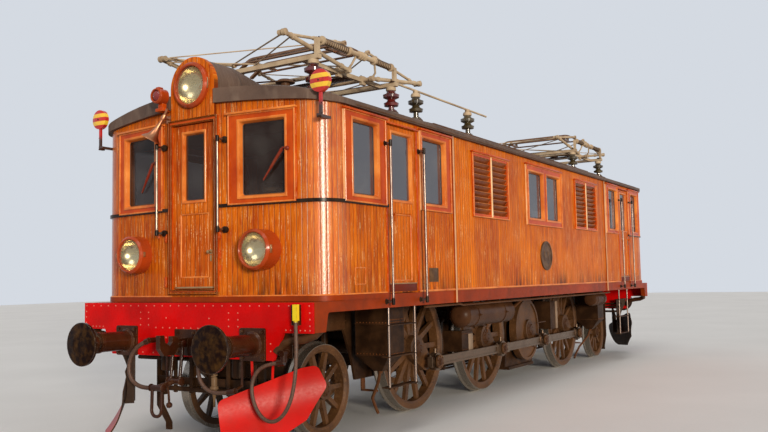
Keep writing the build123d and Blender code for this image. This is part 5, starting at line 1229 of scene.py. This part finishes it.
def buffer_details():
    """Bolts on the buffers' feet, a collar on each barrel and the thick rim of each head."""
    bolts, rings = Shape(), Shape()
    centre = Vector((BEAM_X, BUFFER_Y, BUFFER_Z))
    for y in (-122, 122):
        for z in (-122, 122):
            bolts.nut(centre + Vector((22, y, z)), X, 19, 16)
    for spot in circle(centre + X * 28, Y, Z, 113, 8, 22.345):
        bolts.nut(spot, X, 8, 6)
    rings.turned(centre, X, ((406, 83), (406, 94), (424, 94), (430, 83)), 36, True)
    rings.turned(centre, X, ((552, 100), (560, 196), (566, 218.5), (574, 219.5), (588, 219.5), (592.5, 218.5),
                             (593.5, 206), (590, 190), (570, 100)), 56, True)
    bolts.four()
    rings.four()
    bolts.make("buffer_bolts", IRON, "black_iron")
    rings.make("buffer_rims", RIM_IRON, "black_iron")


def coupling_details():
    """Screw thread, lever with its ball, pins and the hook's nut, and the nozzle of the air valve."""
    shape, nozzle = Shape(), Shape()
    x, z = BEAM_X + 165, BUFFER_Z - 370
    shape.tube(helix((x + 35, 0, z - 5.6), (x + 205, 0, z - 32.8), 22.5, 11), 5, 6)
    shape.tube(((x + 110, 0, z - 10), (x + 112, 30, z - 90), (x + 113, 40, z - 200)), 12, 10)
    shape.turned((x + 113, 40, z - 185), -Z, ((0, 12), (12, 27), (30, 32), (50, 24), (60, 0)), 16)
    for side in (LEFT, RIGHT):
        for dx, y, pz, pin in ((-45, 73, BUFFER_Z - 5, cap(34, 10, 16, 20)), (0, 83, z, cap(40, 10, 18, 22)),
                               (230, 78, z - 37, cap(37, 10, 18, 20))):
            shape.turned((x + dx, side * y, pz), Y * side, pin, 16)
        for dz in (-95, 95):
            shape.nut((BEAM_X + 25, side * 110, BUFFER_Z + dz), X, 17, 14)
    shape.also(-1, -1)
    shape.make("coupling_parts", IRON, "black_iron")
    x, y = 5978, 452
    spout = ((0, 26), (10, 30), (85, 30), (90, 40), (112, 42), (120, 30), (160, 20), (215, 12), (285, 10),
             (285, 0))
    nozzle.turned((x, y, 742), -Z, spout, 18)
    nozzle.tube(helix((x, y, 850), (x, y, 742), 26, 4, 10), 8, 7)
    nozzle.tube(((x, y, 740), (x, y, 900), (5930, y, 930), (5885, y, 930)), 14, 9)
    nozzle.make("valve_nozzle", VALVE, "black_iron")


def end_rigging():
    """Hangers, pipes, levers and the guard irons behind and under the buffer beams."""
    shape, elbow = Shape(), Shape()
    for y in (-620, 620):
        shape.box((5560, y - 14, 470), (5620, y + 14, 1120), 4)
    for y in (-360, -130, 130, 380):
        shape.box((5690, y - 22, 520), (5712, y + 22, 1100), 4)
    for x, z, half, radius, sides in ((5700, 560, 620, 26, 12), (5640, 860, 980, 22, 10),
                                      (5780, 1020, 1050, 19, 10), (5740, 960, 1050, 15, 10)):
        shape.tube(((x, -half, z), (x, half, z)), radius, sides)
    guard = ((5560, 1120), (5560, 360), (5440, 150), (5440, 70), (5472, 70), (5472, 146), (5600, 350),
             (5600, 1120))
    for y in (-717, 717):
        place = Matrix(((1, 0, 0, 0), (0, 0, -1, y + 35), (0, 1, 0, 0), (0, 0, 0, 1)))
        shape.plate(guard, place, 70)
        shape.box((5560, min(y, y * 0.86), 1050), (5600, max(y, y * 0.86), 1100), 4)
    shape.box((5660, -640, 600), (5676, 640, 680), 3)
    shape.tube(((5860, -300, 1050), (5800, -300, 980), (5640, -300, 900), (5300, -340, 920)), 24, 10)
    shape.tube(((5860, 210, 960), (5760, 240, 960), (5560, 340, 950), (5200, 360, 960)), 24, 10)
    shape.turned((5700, -450, 740), Z, ((0, 0), (0, 60), (12, 85), (180, 85), (200, 60), (235, 30), (340, 30),
                                        (340, 0)), 20)
    shape.turned((5700, 520, 700), Z, ((0, 0), (0, 50), (12, 70), (210, 70), (230, 50), (265, 26), (380, 26),
                                       (380, 0)), 20)
    shape.also(-1, -1)
    bend = ((5868, 1140, 985), (5850, 1175, 1040), (5842, 1240, 1085), (5836, 1330, 1105),
            (5820, 1430, 1115), (5780, 1520, 1150), (5700, 1538, 1205))
    for side in (LEFT, RIGHT):
        elbow.tube([(x, side * y, z) for x, y, z in bend], 42, 14)
    elbow.also(-1, 1)
    elbow.make("end_elbows", TANK, "frame_paint")
    shape.make("end_rigging", DARK, "frame_paint")


# Running gear

def leaf_springs():
    """Laminated springs over the axle boxes, with their buckles and hangers."""
    shape = Shape()
    z, half, sag, leaves = 1035, 460, 35, 8
    for x in DRIVER_X:
        for i in range(leaves):
            reach = half - i * 52
            top = z + 16 * (leaves - 1 - i)
            for a in (-1.0, -0.5, 0.0, 0.5):
                corners = []
                for dz in (0, 13.5):
                    for share, y in ((a, 633), (a + 0.5, 633), (a + 0.5, 668), (a, 668)):
                        corners.append((x + share * reach, y, top + dz + sag * (share * reach / half) ** 2))
                shape.hexahedron(corners)
        shape.box((x - 45, 631, z - 30), (x + 45, 672, z + 140), 6)
        for end in (x - half + 20, x + half - 20):
            shape.tube(((end, 650, z + 200), (end, 650, z + 45)), 13)
            shape.nut((end, 650, z + 185), Z, 21, 20)
            shape.box((end - 30, 629, z + 195), (end + 30, 672, z + 215), 4)
    shape.also(1, -1)
    shape.make("leaf_springs", TANK, "frame_paint")


def sand_pipes():
    """Pipes from the sandboxes to the rail before the outer drivers, and pipe runs along the frame."""
    shape = Shape()
    sander = ((3815, 982, 610), (3800, 940, 470), (3700, 790, 260), (3560, 752, 110), (3520, 750, 60))
    shape.tube(sander, 19, 10)
    shape.turned((3815, 982, 600), Z, ((-30, 24), (0, 34), (30, 40), (40, 0)), 14)
    shape.box((3640, 600, 330), (3664, 835, 354), 3)
    shape.box((3600, 600, 330), (3664, 626, 560), 3)
    shape.also(-1, 1)
    shape.tube(((3600, 1470, 1325), (2700, 1470, 1325), (2600, 1455, 1310), (-3600, 1455, 1310)), 14)
    shape.tube(((860, 1300, 1165), (740, 1300, 1165), (700, 1330, 1200), (700, 1450, 1300)), 15)
    shape.tube(((1550, 1300, 1012), (1550, 1290, 940), (1530, 1280, 900)), 12)
    shape.turned((1550, 1290, 970), -Z, ((0, 16), (6, 24), (34, 24), (40, 12), (52, 0)), 12)
    shape.also(1, -1)
    shape.make("pipe_runs", PIPE, "black_iron")


def box_details():
    """Rivet rows, lids and straps of the sandboxes and of the plate frame."""
    rivets, lids, pale = Shape(), Shape(), Shape()
    x0, x1, y0, y1 = 3640, 3990, 760, 1205
    for z in (805, 1190, 1160):
        for i in range(10):
            if z < 1170:
                rivets.dome((x1, y0 + 25 + i * 43.5, z), X, 7)
            rivets.dome((x0 + 22 + i * 34, y1, z), Y, 7)
    rivets.four()
    rivets.make("box_rivets", RUST, "frame_paint")
    for low, high, bevel in (((x0 - 6, y0 - 6, 1140), (x1 + 6, y1 + 6, 1152), 3),
                             ((x0 - 4, y0 - 4, 785), (x1 + 4, y1 + 4, 795), 3),
                             ((4110, 629, 1090), (4480, 700, 1380), 5),
                             ((4090, 629, 1180), (4500, 706, 1190), 3),
                             ((1260, 922, 860), (1604, 932, 874), 3)):
        lids.box(low, high, bevel)
    lids.also(-1, 1)
    lids.box((1262, 924, 640), (1600, 930, 652), 2)
    lids.also(1, -1)
    lids.make("box_lids", TANK, "frame_paint")
    pale.box((1262, 924, 622), (1400, 931, 858), 3)
    pale.box((-2187, 924, 722), (-2085, 931, 1198), 3)
    pale.also(1, -1)
    pale.make("guard_plates", PALE, "frame_paint")


def wheel_details(name, x, z, face, hub, cranks=False):
    """Hub caps with their bolts, and the bolts of the crank pins' caps, which turn with a wheelset."""
    shape = Shape()
    for side, turn in CRANK_TURNS:
        cover = ((0, hub), (8, hub), (14, hub * 0.85), (14, hub * 0.55), (26, hub * 0.5), (30, 0))
        shape.turned((x, side * (face - 2), z), Y * side, cover, 28)
        for spot in circle((x, side * (face + 11), z), X, Z, hub * 0.7, 8, 22.5):
            shape.nut(spot, Y * side, 11, 9)
        if cranks:
            pin, = circle((x, side * 1078, z), X, Z, CRANK, 1, turn)
            shape.turned(pin, Y * side, ((0, 52), (6, 52), (12, 36), (20, 34), (22, 0)), 20)
            for spot in circle(pin, X, Z, 70, 6, 20):
                shape.nut(spot, Y * side, 10, 8)
    shape.make("caps_" + name, TANK, "wheel_steel", name)


def rod_details():
    """Oil cups, caps and cotters on the side rods."""
    oil_cup = ((0, 26), (12, 26), (14, 17), (40, 17), (44, 22), (54, 20), (58, 0))
    for (side, turn), name in zip(CRANK_TURNS, ("left", "right")):
        shape = Shape()
        y = side * ROD_Y
        for x in (DRIVER_X[0], DRIVER_X[1], JACK_X, DRIVER_X[2]):
            pin, = circle((x, y, AXLE_Z), X, Z, CRANK, 1, turn)
            x, z = pin.x, pin.z
            shape.turned((x, y, z + 108), Z, oil_cup, 14)
            for cotter in (x - 128, x + 128):
                shape.box((cotter - 11, y - 36, z - 66), (cotter + 11, y + 36, z + 66), 3)
                shape.nut((cotter, y, z + 66), Z, 13, 14)
        for x in (DRIVER_X[1], JACK_X):
            pin, = circle((x - 215, y - 40, AXLE_Z), X, Z, CRANK, 1, turn)
            shape.turned(pin, Y, drum(80, 40, 6, 34), 18)
        shape.make("rod_fittings_" + name, ROD, "rod_steel", "side_rods_" + name)


def tank_details():
    """Strap bolts, end seams and drain of the air tanks, and the small drum at the other end."""
    shape = Shape()
    for x in (962, 2368):
        shape.turned((x - 6, 1300, 1165), X, ((0, 154.5), (0, 157.5), (12, 157.5), (12, 154.5)), 40, True)
    for x in (1250, 2100):
        shape.box((x - 22, 1458, 1150), (x + 22, 1474, 1180), 3)
        shape.nut((x, 1470, 1165), Y, 12, 12)
    body = ((0, 0), (0, 60), (20, 110), (45, 118), (640, 118), (665, 110), (685, 60), (685, 0))
    shape.turned((-2900, 1300, 1200), -X, body, 36)
    for x in (-3050, -3420):
        shape.turned((x - 18, 1300, 1200), X, ((0, 117), (0, 124), (36, 124), (36, 117)), 36, True)
        shape.box((x - 16, 1282, 1310), (x + 16, 1318, 1370), 3)
        shape.box((x - 16, 1282, 1345), (x + 16, 1506, 1365), 3)
    shape.also(1, -1)
    shape.make("tank_fittings", TANK, "frame_paint")


def brake_rigging():
    """Pins of the brake hangers, pull rods and safety loops near the rails."""
    shape = Shape()
    front, middle, rear = 1910, -140, -3590
    for side in (LEFT, RIGHT):
        for x in (front, middle, rear):
            for dz, pin in ((-335, 30), (310, 26)):
                profile = ((-30, 0), (-30, pin), (10, pin), (14, pin - 10), (20, 0))
                shape.turned((x, side * 795, AXLE_Z + dz), Y * side, profile, 14)
            shape.box((x - 20, side * 510 - 45, 322), (x + 20, side * 510 + 45, 412), 4)
        for x0, x1, y in ((front, middle, 500), (middle, rear, 520)):
            shape.tube(((x0, side * y, 350), (x1, side * y, 350)), 16)
    shape.make("brake_rods", DARK, "frame_paint")


# Inside the cabs

def cab_fittings():
    """Hand wheel, gauges, levers, lamp and stool in each cab."""
    shape, stool, blinds = Shape(), Shape(), Shape()
    z = FLOOR_Z
    wheel_at = Vector((5300, 700, z + 1150))
    shape.tube(circle(wheel_at, X, Y, 140, 24), 13, 8, closed=True)
    for spot in circle(wheel_at, X, Y, 140, 4):
        shape.tube((wheel_at, spot), 8, 6)
    shape.turned((5300, 700, z + 1105), Z, ((0, 30), (60, 26), (66, 0)), 14)
    stem = ((5400, -620, 950), (5420, -660, 1130), (5470, -740, 1200), (5500, -830, 1190))
    shape.tube([(x, y, z + high) for x, y, high in stem], 9)
    shade = ((0, 14), (20, 30), (80, 50), (82, 44), (30, 22), (30, 0))
    shape.turned((5500, -850, z + 1225), (0, -0.25, -1), shade, 16)
    shape.box((5300, -900, z), (5520, -500, z + 950), 12)
    for y, high in ((860, 1020), (1020, 1030), (1180, 1020)):
        gauge = ((-20, 0), (-20, 58), (12, 62), (20, 55), (16, 50), (16, 0))
        shape.turned((5470, y, z + high), (-1, 0, 0.5), gauge, 20)
    stool.turned((4860, 720, z + 560), Z, ((0, 0), (0, 150), (10, 168), (30, 170), (42, 158), (44, 0)), 28)
    stool.turned((4860, 720, z), Z, ((0, 0), (0, 130), (14, 130), (30, 35), (560, 30), (560, 0)), 20)
    stool.box((4650, -1330, z + 440), (5120, -1020, z + 470), 8)
    for x in (4660, 5080):
        stool.box((x, -1330, z), (x + 30, -1040, z + 442), 5)
    for y in (END_WINDOW_Y, -END_WINDOW_Y):
        blinds.put_box(on_end(y, GLASS_Z1 - 55, -60), (262, 75, 6), 3)
    shape.also(-1, -1)
    stool.also(-1, -1)
    blinds.also(-1, 1)
    shape.make("cab_fittings", BLACK, "black_iron")
    stool.make("cab_stools", RAIL_WOOD, "red_wood")
    blinds.make("blinds", BLACK, "interior_paint")


for build in (beam_rivets, door_glass, window_edges, door_details, door_posts, skirt, plates, rail_feet,
              end_brackets, wipers, horns, lamp_trims, signal_irons, roof_strips, post_caps, base_details,
              frame_details, buffer_details, coupling_details, end_rigging, leaf_springs, sand_pipes,
              box_details, tank_details, rod_details):
    build()
for number, x in enumerate(DRIVER_X, 1):
    wheel_details(f"driver_{number}", x, AXLE_Z, 870, 105, cranks=True)
wheel_details("jackshaft", JACK_X, AXLE_Z, 870, 120, cranks=True)
for name, x in (("front", PONY_X), ("rear", -PONY_X)):
    wheel_details(f"pony_wheels_{name}", x, PONY_R, 830, 85)
brake_rigging()
cab_fittings()


# Camera at the photograph's place, solved from the rails' gauge and the buffers

def add_camera():
    yaw, pitch, roll = 0.558, 0.076, -0.020
    focal, frame_width = 816.74, 768
    forward = Vector((-math.cos(yaw) * math.cos(pitch), -math.sin(yaw) * math.cos(pitch), math.sin(pitch)))
    right = forward.cross(Z).normalized()
    up = right.cross(forward)
    across = right * math.cos(roll) + up * math.sin(roll)
    upright = up * math.cos(roll) - right * math.sin(roll)
    data = bpy.data.cameras.new("camera")
    data.sensor_width = 36.0
    data.lens = focal / frame_width * data.sensor_width
    data.clip_end = 200.0
    camera = bpy.data.objects.new("camera", data)
    place = Matrix((across, upright, -forward)).transposed().to_4x4()
    place.translation = (11.867, 6.098, 1.663 + RAIL)
    camera.matrix_world = place
    bpy.context.scene.collection.objects.link(camera)
    bpy.context.scene.camera = camera


def add_sun(name, azimuth, height, strength, colour, spread):
    """Sun seen from an azimuth counted from X towards Y and a height over the horizon, in degrees."""
    around, up = math.radians(azimuth), math.radians(height)
    towards = Vector((math.cos(around) * math.cos(up), math.sin(around) * math.cos(up), math.sin(up)))
    data = bpy.data.lights.new(name, "SUN")
    data.energy = strength
    data.color = colour
    data.angle = math.radians(spread)
    lamp = bpy.data.objects.new(name, data)
    lamp.rotation_euler = towards.to_track_quat("Z", "Y").to_euler()
    bpy.context.scene.collection.objects.link(lamp)


def add_studio():
    """Pale floor, sun, sky fill and a world that lights less than it shows."""
    floor_shape = bmesh.new()
    bmesh.ops.create_grid(floor_shape, x_segments=1, y_segments=1, size=60.0)
    mesh = bpy.data.meshes.new("floor")
    floor_shape.to_mesh(mesh)
    floor_shape.free()
    look = Look("floor_look")
    speckle = look.noise(25.0, 4.0)
    cloud = look.noise(0.4, 3.0)
    tone = look.mix(look.between(cloud, 0.3, 0.7), (0.84, 0.82, 0.79), (0.90, 0.88, 0.85))
    tone = look.mix(look.math("MULTIPLY", look.between(speckle, 0.4, 0.7), 0.10), tone, (0.66, 0.63, 0.60))
    ray = look.node("ShaderNodeLightPath").outputs
    direct = look.math("MAXIMUM", look.math("MAXIMUM", ray["Is Camera Ray"], ray["Is Glossy Ray"]),
                       ray["Is Transmission Ray"])
    tone = look.mix(direct, (0.34, 0.31, 0.28), tone)
    mesh.materials.append(look.finish(tone, 0.85, look.bump(speckle, 0.002, 0.3)))
    floor = bpy.data.objects.new("floor", mesh)
    bpy.context.scene.collection.objects.link(floor)
    add_sun("key", 53.0, 6.5, 3.0, (1.0, 0.90, 0.74), 11.0)
    add_sun("fill", 15.0, 50.0, 0.9, (1.0, 0.96, 0.90), 30.0)
    world = bpy.data.worlds.new("world")
    world.use_nodes = True
    tree = world.node_tree
    tree.nodes.clear()
    out = tree.nodes.new("ShaderNodeOutputWorld")
    mixed = tree.nodes.new("ShaderNodeMixShader")
    lights = []
    for colour, strength in (((0.88, 0.92, 1.0, 1.0), 0.34), ((0.66, 0.70, 0.76, 1.0), 1.0)):
        light = tree.nodes.new("ShaderNodeBackground")
        light.inputs["Color"].default_value = colour
        light.inputs["Strength"].default_value = strength
        lights.append(light)
    ray = tree.nodes.new("ShaderNodeLightPath")
    share = ray.outputs["Is Camera Ray"]
    for kind in ("Is Glossy Ray", "Is Transmission Ray"):
        either = tree.nodes.new("ShaderNodeMath")
        either.operation = "MAXIMUM"
        tree.links.new(share, either.inputs[0])
        tree.links.new(ray.outputs[kind], either.inputs[1])
        share = either.outputs[0]
    tree.links.new(share, mixed.inputs[0])
    for light, socket in zip(lights, mixed.inputs[1:]):
        tree.links.new(light.outputs[0], socket)
    tree.links.new(mixed.outputs[0], out.inputs[0])
    bpy.context.scene.world = world


add_camera()
add_studio()
bpy.context.scene.view_settings.view_transform = "Standard"
